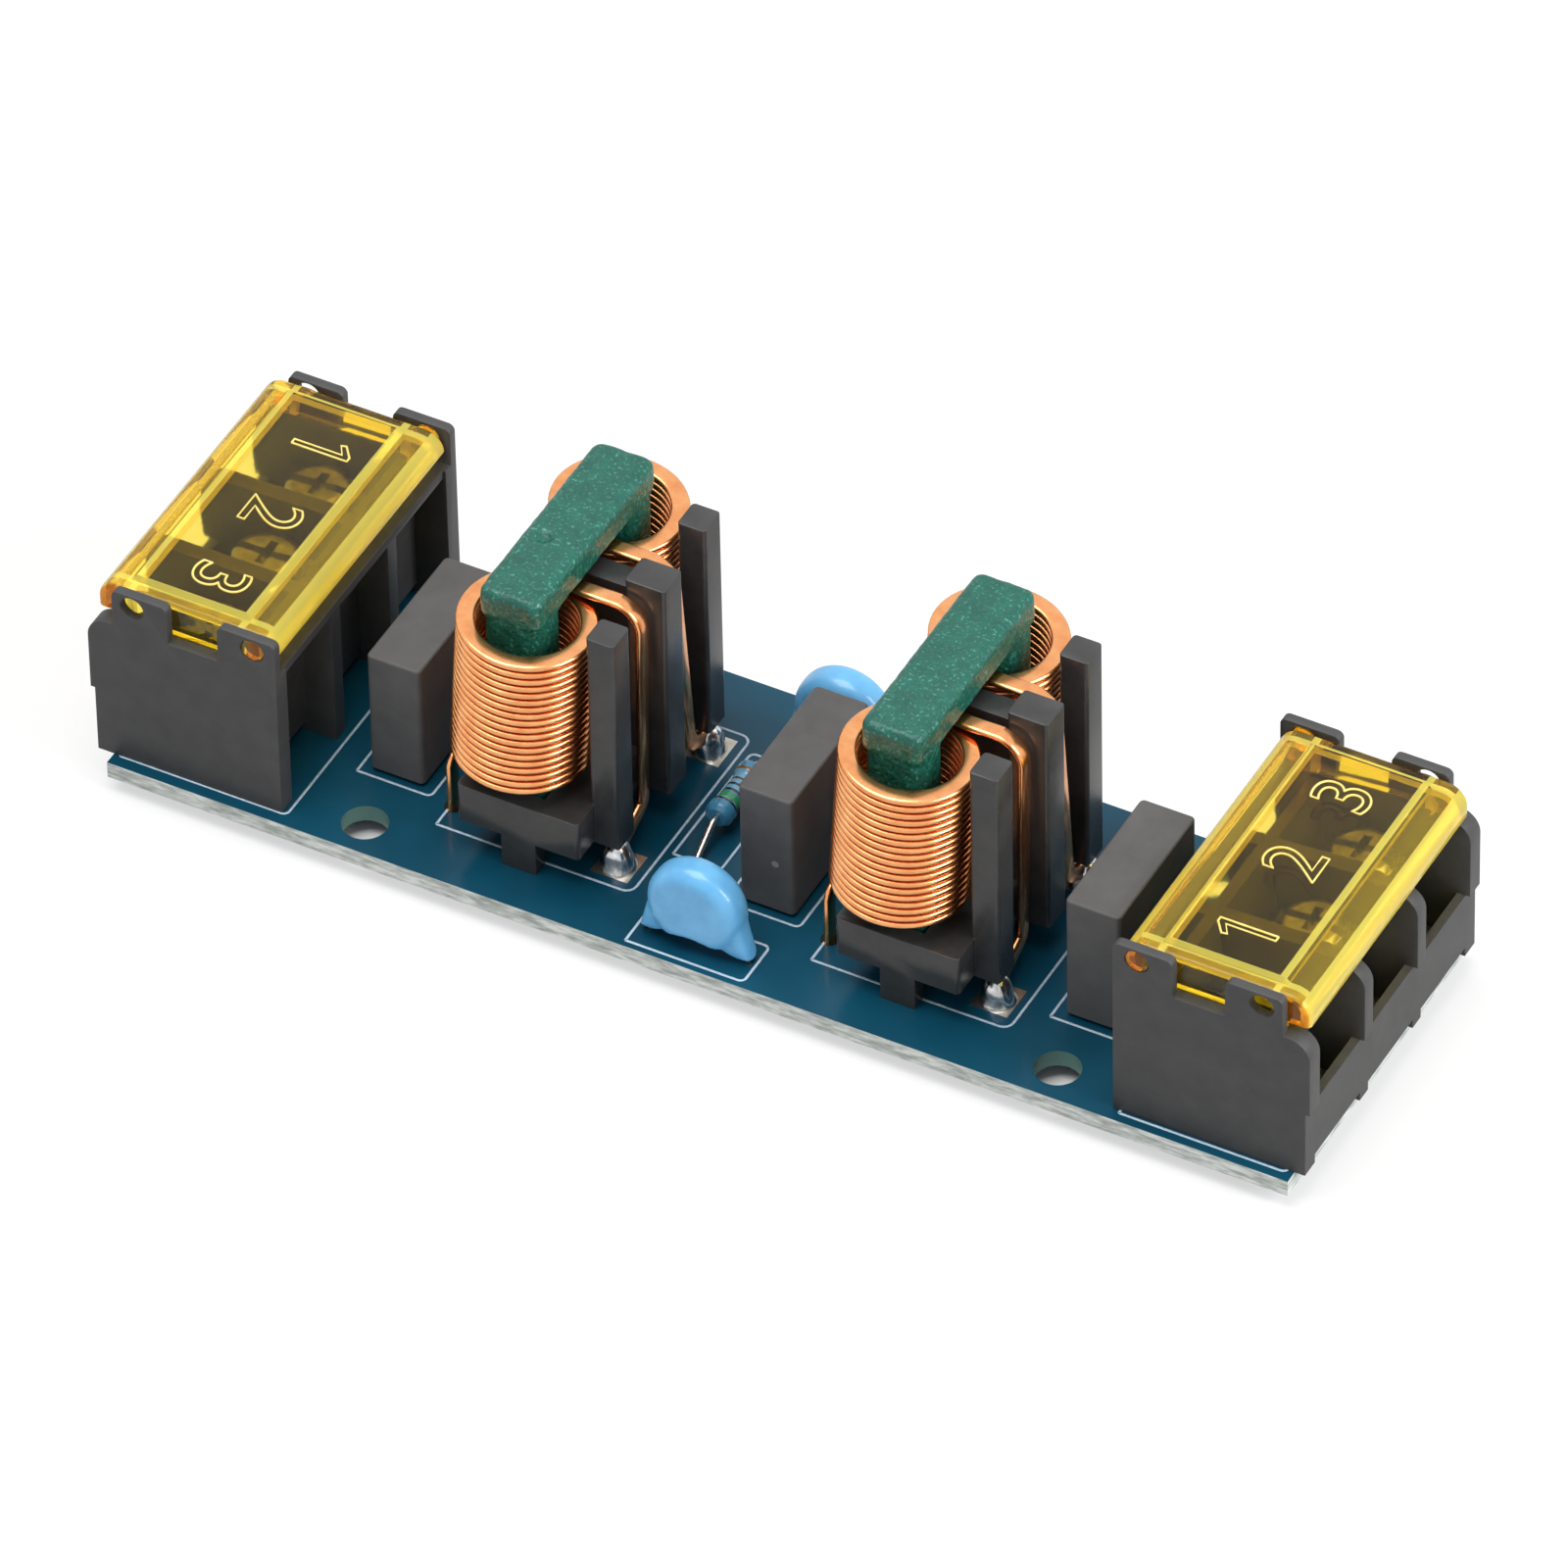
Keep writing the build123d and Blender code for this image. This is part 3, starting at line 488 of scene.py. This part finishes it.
def green_coating():
    """Thick glossy green coating with pebbled skin on the ferrite, and painted glints: small lighter spots
    where the pebbles would catch the light.
    """
    finish = Finish(
        "green_coating", Roughness=0.3, Specular_IOR_Level=0.3, Coat_Weight=0.18, Coat_Roughness=0.08
    )
    cloud = finish.mottle(1.8 * MM, detail=6, rough=0.7)
    green = finish.ramp(
        cloud, (0.3, (0.004, 0.075, 0.055)), (0.55, (0.006, 0.108, 0.075)), (0.8, (0.012, 0.14, 0.1))
    )
    # Painted glints: lighter green, put in small spots where the pebbled skin would catch the light.
    glint = finish.ramp(cloud, (0.3, (0.08, 0.34, 0.26)), (0.8, (0.22, 0.55, 0.45)))
    painted_glint_spots = finish.ramp(finish.mottle(0.32 * MM, detail=2), (0.58, (0, 0, 0)), (0.72, (0.55, 0.55, 0.55)))
    finish.colour(finish.blend(painted_glint_spots, green, glint))
    under = finish.relief(finish.pebbles(0.5 * MM), 0.14 * MM, 0.7)
    finish.relief(finish.mottle(0.3 * MM, detail=3, rough=0.6), 0.1 * MM, 0.9, under)
    return finish.material


def bright_copper():
    """Enamelled copper wire."""
    finish = Finish("bright_copper", Metallic=1.0, Roughness=0.22, Coat_Weight=0.3, Coat_Roughness=0.1)
    cloud = finish.mottle(1.5 * MM, detail=3)
    finish.colour(finish.between(cloud, (0.84, 0.32, 0.115), (0.97, 0.46, 0.19)))
    return finish.material


def bare_metal(name, dark, light, roughness, spot, depth=0.0):
    """Plated or tinned metal, a little cloudy."""
    finish = Finish(name, Metallic=1.0, Roughness=roughness)
    cloud = finish.mottle(spot, detail=4)
    finish.colour(finish.between(cloud, dark, light))
    if depth:
        finish.relief(cloud, depth, 0.6)
    return finish.material


def dipped_blue():
    """Smooth blue dip coating."""
    finish = Finish("dipped_blue", Roughness=0.28, Coat_Weight=0.3, Coat_Roughness=0.1)
    cloud = finish.mottle(2 * MM, detail=3)
    finish.colour(finish.between(cloud, (0.12, 0.43, 0.78), (0.16, 0.52, 0.88)))
    finish.relief(finish.mottle(0.8 * MM, detail=2), 0.02 * MM, 0.4)
    return finish.material


def banded_lacquer():
    """Resistor lacquer with its rings of colour along Y."""
    finish = Finish("banded_lacquer", Roughness=0.25, Coat_Weight=0.5, Coat_Roughness=0.08)
    low, high = box_of("resistor_body")
    share = finish.along(finish.stretched((1, 1 / (high.y - low.y), 1), centre=(0, low.y, 0)), "Y")
    finish.colour(finish.ramp(share, *RESISTOR_RINGS, interpolation="CONSTANT"))
    return finish.material


def white_print():
    """White printing ink."""
    finish = Finish("white_print", Roughness=0.6)
    finish.colour(finish.between(finish.mottle(0.4 * MM), (0.42, 0.54, 0.66), (0.62, 0.74, 0.86)))
    return finish.material


AMBER = {side: clear_amber(side) for side in ("left", "right")}
FINISHES = {
    "board_blue": board_lacquer(),
    "solder": bare_metal(
        "bright_solder", (0.42, 0.42, 0.42), (0.8, 0.8, 0.81), roughness=0.17, spot=0.8 * MM, depth=0.05 * MM
    ),
    "tinned_wire": bare_metal(
        "tinned_wire", (0.55, 0.54, 0.53), (0.78, 0.76, 0.74), roughness=0.24, spot=0.8 * MM
    ),
    "tinned_plate": bare_metal(
        "tinned_plate", (0.4, 0.38, 0.33), (0.6, 0.57, 0.5), roughness=0.34, spot=1.2 * MM
    ),
    "washer_plated": bare_metal(
        "plated_washer", (0.16, 0.16, 0.16), (0.3, 0.3, 0.3), roughness=0.42, spot=0.8 * MM
    ),
    "screw_plated": bare_metal(
        "plated_screw", (0.2, 0.2, 0.2), (0.36, 0.36, 0.35), roughness=0.38, spot=0.8 * MM
    ),
    "housing_grey": moulded_grey("housing_moulding", 0.052, 0.066, roughness=0.5, grain=0.22 * MM),
    "base_grey": moulded_grey("base_moulding", 0.03, 0.043, roughness=0.27, grain=0.3 * MM, gloss=0.5),
    "case_grey": moulded_grey("case_moulding", 0.092, 0.115, roughness=0.48, grain=0.3 * MM, spot=SPOT_PLACE),
    "cover_amber": AMBER["left"],
    "core_green": green_coating(),
    "copper_enamelled": bright_copper(),
    "disc_blue": dipped_blue(),
    "resistor_blue": banded_lacquer(),
}
PRINT = white_print()
DIGIT = digit_amber()


def dress_nodes():
    """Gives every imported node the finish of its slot."""
    slots = {part["node"]: part["material_slot"] for part in frame["record"]["subparts"]}
    for name, thing in frame["nodes"].items():
        thing.data.materials.clear()
        thing.data.materials.append(FINISHES[slots[name]])


# Joined and softened copies of the moulded pieces


def joined_copy(node, name, slot):
    """A copy of a CAD node with its triangles joined and its flat faces made whole."""
    work = bmesh.new()
    work.from_mesh(frame["nodes"][node].data)
    bmesh.ops.remove_doubles(work, verts=work.verts, dist=JOIN_GAP)
    flat = math.radians(FLAT_MAX_DEG)
    bmesh.ops.dissolve_limit(work, angle_limit=flat, verts=work.verts, edges=work.edges)
    mesh = bpy.data.meshes.new(name)
    work.to_mesh(mesh)
    work.free()
    mesh.materials.append(FINISHES[slot])
    thing = bpy.data.objects.new(name, mesh)
    bpy.context.scene.collection.objects.link(thing)
    return thing


def keep(thing, body, slot, *nodes):
    """Hands a finished piece over: puts it on its body and hides the nodes that it stands for. The slot is
    not used.
    """
    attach(thing, body)
    if nodes:
        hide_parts(*nodes)


def softened(node, name, slot, body, width, finish=None):
    """The moulding of a CAD node with a small round on every edge."""
    thing = joined_copy(node, name, slot)
    if finish:
        thing.data.materials[0] = finish
    bevel = thing.modifiers.new("edges", "BEVEL")
    bevel.width = width
    bevel.segments = EDGE_STEPS
    bevel.limit_method = "ANGLE"
    bevel.angle_limit = math.radians(EDGE_MIN_DEG)
    bevel.use_clamp_overlap = True
    bevel.harden_normals = True
    thing.data.shade_smooth()
    made_plain(thing)
    keep(thing, body, slot, node)
    return thing


def turned_round(thing, name, slot, node):
    """The same moulding at the other end of the board, turned by half a turn."""
    twin = thing.copy()
    twin.data = thing.data.copy()
    twin.name = name
    bpy.context.scene.collection.objects.link(twin)
    xs = [vertex.co.x for vertex in thing.data.vertices]
    shift = middle_of(node).x + (min(xs) + max(xs)) / 2
    twin.data.transform(Matrix.Translation((shift, 0, 0)) @ Matrix.Rotation(math.pi, 4, "Z"))
    keep(twin, "base", slot, node)


def coated(node, name, slot, cell, rounds):
    """A CAD node's form under a coating that rounds its corners."""
    thing = joined_copy(node, name, slot)
    skin = thing.modifiers.new("skin", "REMESH")
    skin.mode = "VOXEL"
    skin.voxel_size = cell
    flow = thing.modifiers.new("flow", "SMOOTH")
    flow.factor = SKIN_EASE
    flow.iterations = rounds
    made_plain(thing)
    thing.data.shade_smooth()
    keep(thing, "base", slot, node)
    return thing


def uneven(thing):
    """Makes the skin of a coated piece lumpy, with every lump inside the smooth skin."""
    skin = [(vertex.co.copy(), vertex.normal.copy()) for vertex in thing.data.vertices]
    for vertex, (place, outward) in zip(thing.data.vertices, skin):
        fine = FINE_LUMP_SHARE * noise.noise(place * FINE_LUMP_SCALE / LUMP_SIZE)
        height = noise.noise(place / LUMP_SIZE) + fine
        vertex.co = place - outward * LUMP_DEPTH * (1 + FINE_LUMP_SHARE - height)


def pressed_mark(thing):
    """A round dent in the top of a coated piece."""
    top = max(vertex.co.z for vertex in thing.data.vertices)
    for vertex in thing.data.vertices:
        away = math.dist(vertex.co.xy, MARK_PLACE) / MARK_R
        if away < 1 and vertex.co.z > top - MARK_DEPTH:
            vertex.co.z -= MARK_DEPTH * (1 - away ** 4)


# Coils


def winding_form():
    """Flat wire on edge in a leaning helix, and swept along the lead-outs that come in."""
    form = Form("edge_wound_coil")
    profile = form.node("GeometryNodeCurvePrimitiveQuadrilateral")
    form.join(form.size("Wire width"), profile.inputs["Width"])
    form.join(form.size("Wire thickness"), profile.inputs["Height"])
    rounded = form.node("GeometryNodeFilletCurve", mode="POLY")
    form.join(profile.outputs["Curve"], rounded.inputs["Curve"])
    rounded.inputs["Count"].default_value = CORNER_STEPS
    form.join(form.size("Corner"), rounded.inputs["Radius"])

    helix = form.node("GeometryNodeCurveSpiral", {"Resolution": TURN_POINTS, "Reverse": True})
    radius = form.size("Mean radius")
    form.join(form.size("Turns"), helix.inputs["Rotations"])
    form.join(radius, helix.inputs["Start Radius"])
    form.join(radius, helix.inputs["End Radius"])
    form.join(form.size("Height"), helix.inputs["Height"])
    level = form.node("GeometryNodeSetCurveNormal", mode="Z_UP")
    form.join(helix.outputs["Curve"], level.inputs["Curve"])
    wound = form.node("GeometryNodeCurveToMesh", {"Fill Caps": True})
    form.join(level.outputs["Curve"], wound.inputs["Curve"])
    form.join(rounded.outputs["Curve"], wound.inputs["Profile Curve"])
    centred = form.node("GeometryNodeTransform", {"Rotation": (0, 0, -math.pi / 2)})
    form.join(wound.outputs["Mesh"], centred.inputs["Geometry"])
    form.join(form.size("Sink", "NodeSocketVector"), centred.inputs["Translation"])
    leaning = form.node("GeometryNodeTransform")
    form.join(centred.outputs["Geometry"], leaning.inputs["Geometry"])
    form.join(form.size("Lean", "NodeSocketRotation"), leaning.inputs["Rotation"])
    form.join(form.size("Middle", "NodeSocketVector"), leaning.inputs["Translation"])

    route = form.node("GeometryNodeMeshToCurve")
    form.join(form.start.outputs["Geometry"], route.inputs["Mesh"])
    leads = form.node("GeometryNodeCurveToMesh", {"Fill Caps": True})
    form.join(route.outputs["Curve"], leads.inputs["Curve"])
    form.join(rounded.outputs["Curve"], leads.inputs["Profile Curve"])

    both = form.node("GeometryNodeJoinGeometry")
    form.join(leaning.outputs["Geometry"], both.inputs[0])
    form.join(leads.outputs["Mesh"], both.inputs[0])
    smooth = form.node("GeometryNodeSetShadeSmooth")
    form.join(both.outputs[0], smooth.inputs["Geometry"])
    form.close(smooth.outputs["Geometry"])
    return form


def lead_route(way, start_x, bend, level, reach, jog, sweep=0.0):
    """Middle line of a lead-out: along X, round a bend and down, then sideways to its hole."""
    points = [(start_x, -MEAN_R, level)]
    for step in range(BEND_STEPS + 1):
        turn = math.pi / 2 * step / BEND_STEPS
        points.append((reach - bend + bend * math.sin(turn), -MEAN_R, level - bend + bend * math.cos(turn)))
    for step in range(JOG_STEPS + 1):
        part = step / JOG_STEPS
        ease = part * part * (3 - 2 * part)
        aside = sweep + (MEAN_R - sweep) * ease
        points.append((reach, -MEAN_R + aside, BOARD_TOP + jog - JOG_DROP * part))
    points.append((reach, 0, 0))
    return [(way * x, y, z) for x, y, z in points]


def routes_mesh(name, routes):
    """A mesh of edges along the given routes."""
    points = [point for route in routes for point in route]
    edges = []
    first = 0
    for route in routes:
        edges += [(first + n, first + n + 1) for n in range(len(route) - 1)]
        first += len(route)
    mesh = bpy.data.meshes.new(name)
    mesh.from_pydata(points, edges, [])
    return mesh


def coil_places():
    """Side, end, way of the end along Y, and the place of each of the four coils."""
    for side in ("left", "right"):
        middle = middle_of(f"choke_core_{side}")
        for end_name, end in (("front", -1), ("rear", 1)):
            yield side, end_name, end, middle.x, middle.y + end * LEG_SPAN / 2


def coils():
    """The four edge-wound coils with their lead-outs."""
    form = winding_form()
    lean = math.radians(LEAN_DEG)
    height = TURNS * PITCH
    end_h = height / 2 * math.cos(lean)
    end_x = height / 2 * math.sin(lean) - LEAD_LAP
    middle_z = BOARD_TOP + COIL_LIFT + WIRE_T / 2 + end_h
    lower = lead_route(-1, end_x, LOWER_BEND, middle_z - end_h, LOWER_REACH, LOWER_JOG)
    sizes = {
        "Wire width": WIRE_W, "Wire thickness": WIRE_T, "Corner": WIRE_CORNER, "Mean radius": MEAN_R,
        "Turns": float(TURNS), "Height": height, "Sink": (0, 0, -height / 2),
        "Lean": (0, lean, 0), "Middle": (0, 0, middle_z), "Finish": FINISHES["copper_enamelled"],
    }
    for side, end_name, end, x, y in coil_places():
        sweep = UPPER_SWEEP[end_name]
        upper = lead_route(1, end_x, UPPER_BEND, middle_z + end_h, UPPER_REACH, UPPER_JOG, sweep)
        mesh = routes_mesh("lead_routes", [upper, lower])
        coil = form.grow(f"copper_coil_{side}_{end_name}", sizes, mesh)
        if end < 0:
            coil.data.transform(Matrix.Scale(-1, 4, (0, 1, 0)))
            coil.data.flip_normals()
        coil.data.transform(Matrix.Translation((x, y, 0)))
        keep(coil, "base", "copper_enamelled", f"choke_coil_{side}_{end_name}")


# Print, digits and solder


def print_form():
    """A flat printed line along the routes that come in, with rounded corners."""
    form = Form("printed_line")
    route = form.node("GeometryNodeMeshToCurve")
    form.join(form.start.outputs["Geometry"], route.inputs["Mesh"])
    corners = form.node("GeometryNodeFilletCurve", mode="POLY")
    corners.inputs["Count"].default_value = PRINT_CORNER_STEPS
    form.join(route.outputs["Curve"], corners.inputs["Curve"])
    form.join(form.size("Corner"), corners.inputs["Radius"])
    level = form.node("GeometryNodeSetCurveNormal", mode="Z_UP")
    form.join(corners.outputs["Curve"], level.inputs["Curve"])
    profile = form.node("GeometryNodeCurvePrimitiveQuadrilateral")
    form.join(form.size("Line width"), profile.inputs["Width"])
    form.join(form.size("Line height"), profile.inputs["Height"])
    line = form.node("GeometryNodeCurveToMesh", {"Fill Caps": True})
    form.join(level.outputs["Curve"], line.inputs["Curve"])
    form.join(profile.outputs["Curve"], line.inputs["Profile Curve"])
    form.close(line.outputs["Mesh"])
    return form


def frame_route(x0, x1, y0, y1):
    """Corners of a printed frame on top of the board."""
    level = BOARD_TOP + PRINT_H / 2
    return [(x * MM, y * MM, level) for x, y in ((x0, y0), (x1, y0), (x1, y1), (x0, y1), (x0, y0))]


def printed_lines():
    """White frames round the parts."""
    form = print_form()
    for name, (corner, frames) in PRINT_FRAMES.items():
        routes = [frame_route(*sides) for sides in frames]
        sizes = {"Corner": corner, "Line width": PRINT_W, "Line height": PRINT_H, "Finish": PRINT}
        lines = form.grow(f"printed_frames_{name}", sizes, routes_mesh("print_routes", routes))
        keep(lines, "base", "board_blue")


def digit_form():
    """Outline of a digit, or of the routes that come in, as a raised line."""
    form = Form("outlined_digit")
    text = form.node("GeometryNodeStringToCurves", align_x="CENTER", align_y="MIDDLE")
    form.join(form.size("Digit", "NodeSocketString"), text.inputs["String"])
    form.join(form.size("Height"), text.inputs["Size"])
    loose = form.node("GeometryNodeRealizeInstances")
    form.join(text.outputs[0], loose.inputs[0])
    profile = form.node("GeometryNodeCurvePrimitiveCircle", {"Resolution": DIGIT_LINE_SIDES}, mode="RADIUS")
    form.join(form.size("Line radius"), profile.inputs["Radius"])
    route = form.node("GeometryNodeMeshToCurve")
    form.join(form.start.outputs["Geometry"], route.inputs["Mesh"])
    both = form.node("GeometryNodeJoinGeometry")
    form.join(loose.outputs[0], both.inputs[0])
    form.join(route.outputs["Curve"], both.inputs[0])
    line = form.node("GeometryNodeCurveToMesh", {"Fill Caps": True})
    form.join(both.outputs[0], line.inputs["Curve"])
    form.join(profile.outputs["Curve"], line.inputs["Profile Curve"])
    smooth = form.node("GeometryNodeSetShadeSmooth")
    form.join(line.outputs["Mesh"], smooth.inputs["Geometry"])
    form.close(smooth.outputs["Geometry"])
    return form


def digits():
    """Plain digits 1 to 3 in raised outline on both covers."""
    form = digit_form()
    sizes = {"Height": DIGIT_H / DIGIT_SHARE, "Line radius": DIGIT_LINE_R, "Finish": DIGIT}
    one = [(x * DIGIT_H, y * DIGIT_H, 0) for x, y in ONE_OUTLINE]
    sources = {1: ("", [one]), 2: ("2", []), 3: ("3", [])}
    for side, way in (("left", -1), ("right", 1)):
        cover = f"terminal_cover_{side}"
        middle = middle_of(cover)
        top = box_of(cover)[1].z
        across, back = DIGIT_SHIFT[side]
        for number, (typed, drawn) in sources.items():
            outline = routes_mesh("outline", drawn)
            digit = form.grow(f"digit_{side}_{number}", {"Digit": typed, **sizes}, outline)
            along = way * (number - 2) * DIGIT_PITCH
            turn = Matrix.Rotation(math.radians(90 * way), 4, "Z")
            place = Matrix.Translation((middle.x + across, middle.y + back + along, top))
            digit.data.transform(place @ turn)
            keep(digit, f"cover_{side}", "cover_amber")


def solder_blob(name, x, y, seed):
    """A lumpy drop of solder that wets its pad and climbs a lead."""
    points = []
    for ring in range(BLOB_RINGS + 1):
        part = ring / BLOB_RINGS
        body = (1 - BLOB_TIP_SHARE) * math.sqrt(max(0.0, 1 - part ** BLOB_ROUNDNESS))
        spread = body + BLOB_TIP_SHARE * (1 - part) ** BLOB_TIP_POWER
        for side in range(BLOB_SIDES):
            turn = 2 * math.pi * side / BLOB_SIDES
            way = Vector((math.cos(turn), math.sin(turn), 0))
            spot = way * BLOB_LUMPS_ROUND + Vector((seed, part * BLOB_LUMPS_UP, seed * 2))
            lump = 1 + BLOB_LUMP * noise.noise(spot)
            points.append(way * BLOB_R * spread * lump + Vector((x, y, BOARD_TOP + BLOB_H * part)))
    faces = []
    for ring in range(BLOB_RINGS):
        for side in range(BLOB_SIDES):
            first = ring * BLOB_SIDES + side
            second = ring * BLOB_SIDES + (side + 1) % BLOB_SIDES
            faces.append((first, second, second + BLOB_SIDES, first + BLOB_SIDES))
    faces.append(tuple(reversed(range(BLOB_SIDES))))
    mesh = bpy.data.meshes.new(name)
    mesh.from_pydata(points, [], faces)
    work = bmesh.new()
    work.from_mesh(mesh)
    bmesh.ops.remove_doubles(work, verts=work.verts, dist=JOIN_GAP)
    work.to_mesh(mesh)
    work.free()
    mesh.shade_smooth()
    mesh.materials.append(FINISHES["solder"])
    blob = bpy.data.objects.new(name, mesh)
    bpy.context.scene.collection.objects.link(blob)
    keep(blob, "base", "solder")


def solder_on_top():
    """Pads and solder drops where the upper leads of the coils meet the board."""
    for side, end_name, end, x, y in coil_places():
        lead_x = x + UPPER_REACH
        solder_blob(f"solder_drop_{side}_{end_name}", lead_x, y, seed=x / MM + end * 3)
        pad(f"pad_{side}_{end_name}", lead_x, y)


def pad(name, x, y):
    """Thin square pad on the board."""
    bpy.ops.mesh.primitive_cube_add(size=1, location=(0, 0, 0))
    thing = bpy.context.object
    thing.name = name
    thing.data.transform(Matrix.Diagonal((PAD_SIZE, PAD_SIZE, PAD_T, 1)))
    thing.data.transform(Matrix.Translation((x, y, BOARD_TOP)))
    thing.data.materials.append(FINISHES["tinned_plate"])
    keep(thing, "base", "solder")


def mouldings():
    """Softened and coated copies of the moulded, dipped and coated pieces."""
    housing = softened("terminal_housing_left", "housing_left", "housing_grey", "base", EDGE_ROUND)
    turned_round(housing, "housing_right", "housing_grey", "terminal_housing_right")
    for side in ("left", "right"):
        softened(f"choke_base_{side}", f"base_{side}", "base_grey", "base", EDGE_ROUND)
        softened(
            f"terminal_cover_{side}", f"clear_cover_{side}", "cover_amber", f"cover_{side}",
            COVER_EDGE_ROUND, AMBER[side],
        )
        core = coated(f"choke_core_{side}", f"coated_core_{side}", "core_green", *CORE_SKIN)
        uneven(core)
        if side == "left":
            pressed_mark(core)
    for number in (1, 2):
        coated(f"disc_capacitor_{number}", f"dipped_disc_{number}", "disc_blue", *DISC_SKIN)
    coated("resistor_body", "lacquered_resistor", "resistor_blue", *RESISTOR_SKIN)


# Stage, lights and camera


def floor():
    """Plain pale floor that keeps a light shadow, and is bare of added white under the board, so that it is
    darker there as painted shade under the board.
    """
    bpy.ops.mesh.primitive_plane_add(size=FLOOR_SIZE, location=(0, 0, 0))
    plane = bpy.context.object
    plane.name = "floor"
    finish = Finish("floor_white", Roughness=1.0, Specular_IOR_Level=0.0)
    rays = finish.node("ShaderNodeLightPath")
    bounced = finish.combine("MAXIMUM", rays.outputs["Is Diffuse Ray"], rays.outputs["Is Glossy Ray"])
    finish.colour(finish.blend(bounced, FLOOR_SEEN, FLOOR_BOUNCED))
    share = finish.node("ShaderNodeMath", {1: FLOOR_WHITE_SHARE}, operation="MULTIPLY")
    finish.join(rays.outputs["Is Camera Ray"], share.inputs[0])
    seen = finish.combine("MAXIMUM", share.outputs[0], rays.outputs["Is Transmission Ray"])
    # Under the board the added white is left out: painted shade, a darker floor under the board.
    outside_painted_shade = finish.outside(BOARD_HIGH.x - FLOOR_SHADE_INSET, BOARD_HIGH.y - FLOOR_SHADE_INSET)
    white = finish.node("ShaderNodeEmission", {"Color": (1, 1, 1, 1), "Strength": 1.0})
    mix = finish.node("ShaderNodeMixShader")
    finish.join(finish.combine("MULTIPLY", seen, outside_painted_shade), mix.inputs[0])
    finish.join(finish.shader.outputs[0], mix.inputs[1])
    finish.join(white.outputs[0], mix.inputs[2])
    finish.join(mix.outputs[0], finish.output.inputs["Surface"])
    plane.data.materials.append(finish.material)


def lamp(name, place, width, power):
    """A square soft light aimed at the part."""
    data = bpy.data.lights.new(name, "AREA")
    data.shape = "SQUARE"
    data.size = width
    data.energy = power
    light = bpy.data.objects.new(name, data)
    light.location = place
    way = Vector(LAMP_AIM) - Vector(place)
    light.rotation_euler = way.to_track_quat("-Z", "Y").to_euler()
    bpy.context.scene.collection.objects.link(light)


def surroundings():
    """White for the camera and in reflections, and a soft sky for the light."""
    scene = bpy.context.scene
    scene.world = scene.world or bpy.data.worlds.new("world")
    scene.world.use_nodes = True
    net = Net(scene.world.node_tree)
    net.tree.nodes.clear()
    output = net.node("ShaderNodeOutputWorld")
    sky = net.node("ShaderNodeBackground", {"Color": (1, 1, 1, 1), "Strength": SKY_STRENGTH})
    white = net.node("ShaderNodeBackground", {"Color": (1, 1, 1, 1), "Strength": 1.0})
    rays = net.node("ShaderNodeLightPath")
    direct = net.combine("MAXIMUM", rays.outputs["Is Camera Ray"], rays.outputs["Is Glossy Ray"])
    mix = net.node("ShaderNodeMixShader")
    net.join(net.combine("MAXIMUM", direct, rays.outputs["Is Transmission Ray"]), mix.inputs[0])
    net.join(sky.outputs[0], mix.inputs[1])
    net.join(white.outputs[0], mix.inputs[2])
    net.join(mix.outputs[0], output.inputs["Surface"])


def camera():
    """The camera that took the photograph."""
    data = bpy.data.cameras.new("camera")
    data.lens = LENS_MM
    data.sensor_width = SENSOR_MM
    data.clip_end = CAMERA_REACH
    thing = bpy.data.objects.new("camera", data)
    way = Vector(TARGET) - Vector(EYE)
    turn = way.to_track_quat("-Z", "Y").to_matrix().to_4x4()
    thing.matrix_world = Matrix.Translation(EYE) @ turn @ Matrix.Rotation(math.radians(ROLL_DEG), 4, "Z")
    bpy.context.scene.collection.objects.link(thing)
    bpy.context.scene.camera = thing


dress_nodes()
mouldings()
coils()
printed_lines()
digits()
solder_on_top()
floor()
surroundings()
camera()
for lamp_name, settings in LAMPS.items():
    lamp(lamp_name, *settings)
bpy.context.scene.view_settings.view_transform = "Standard"
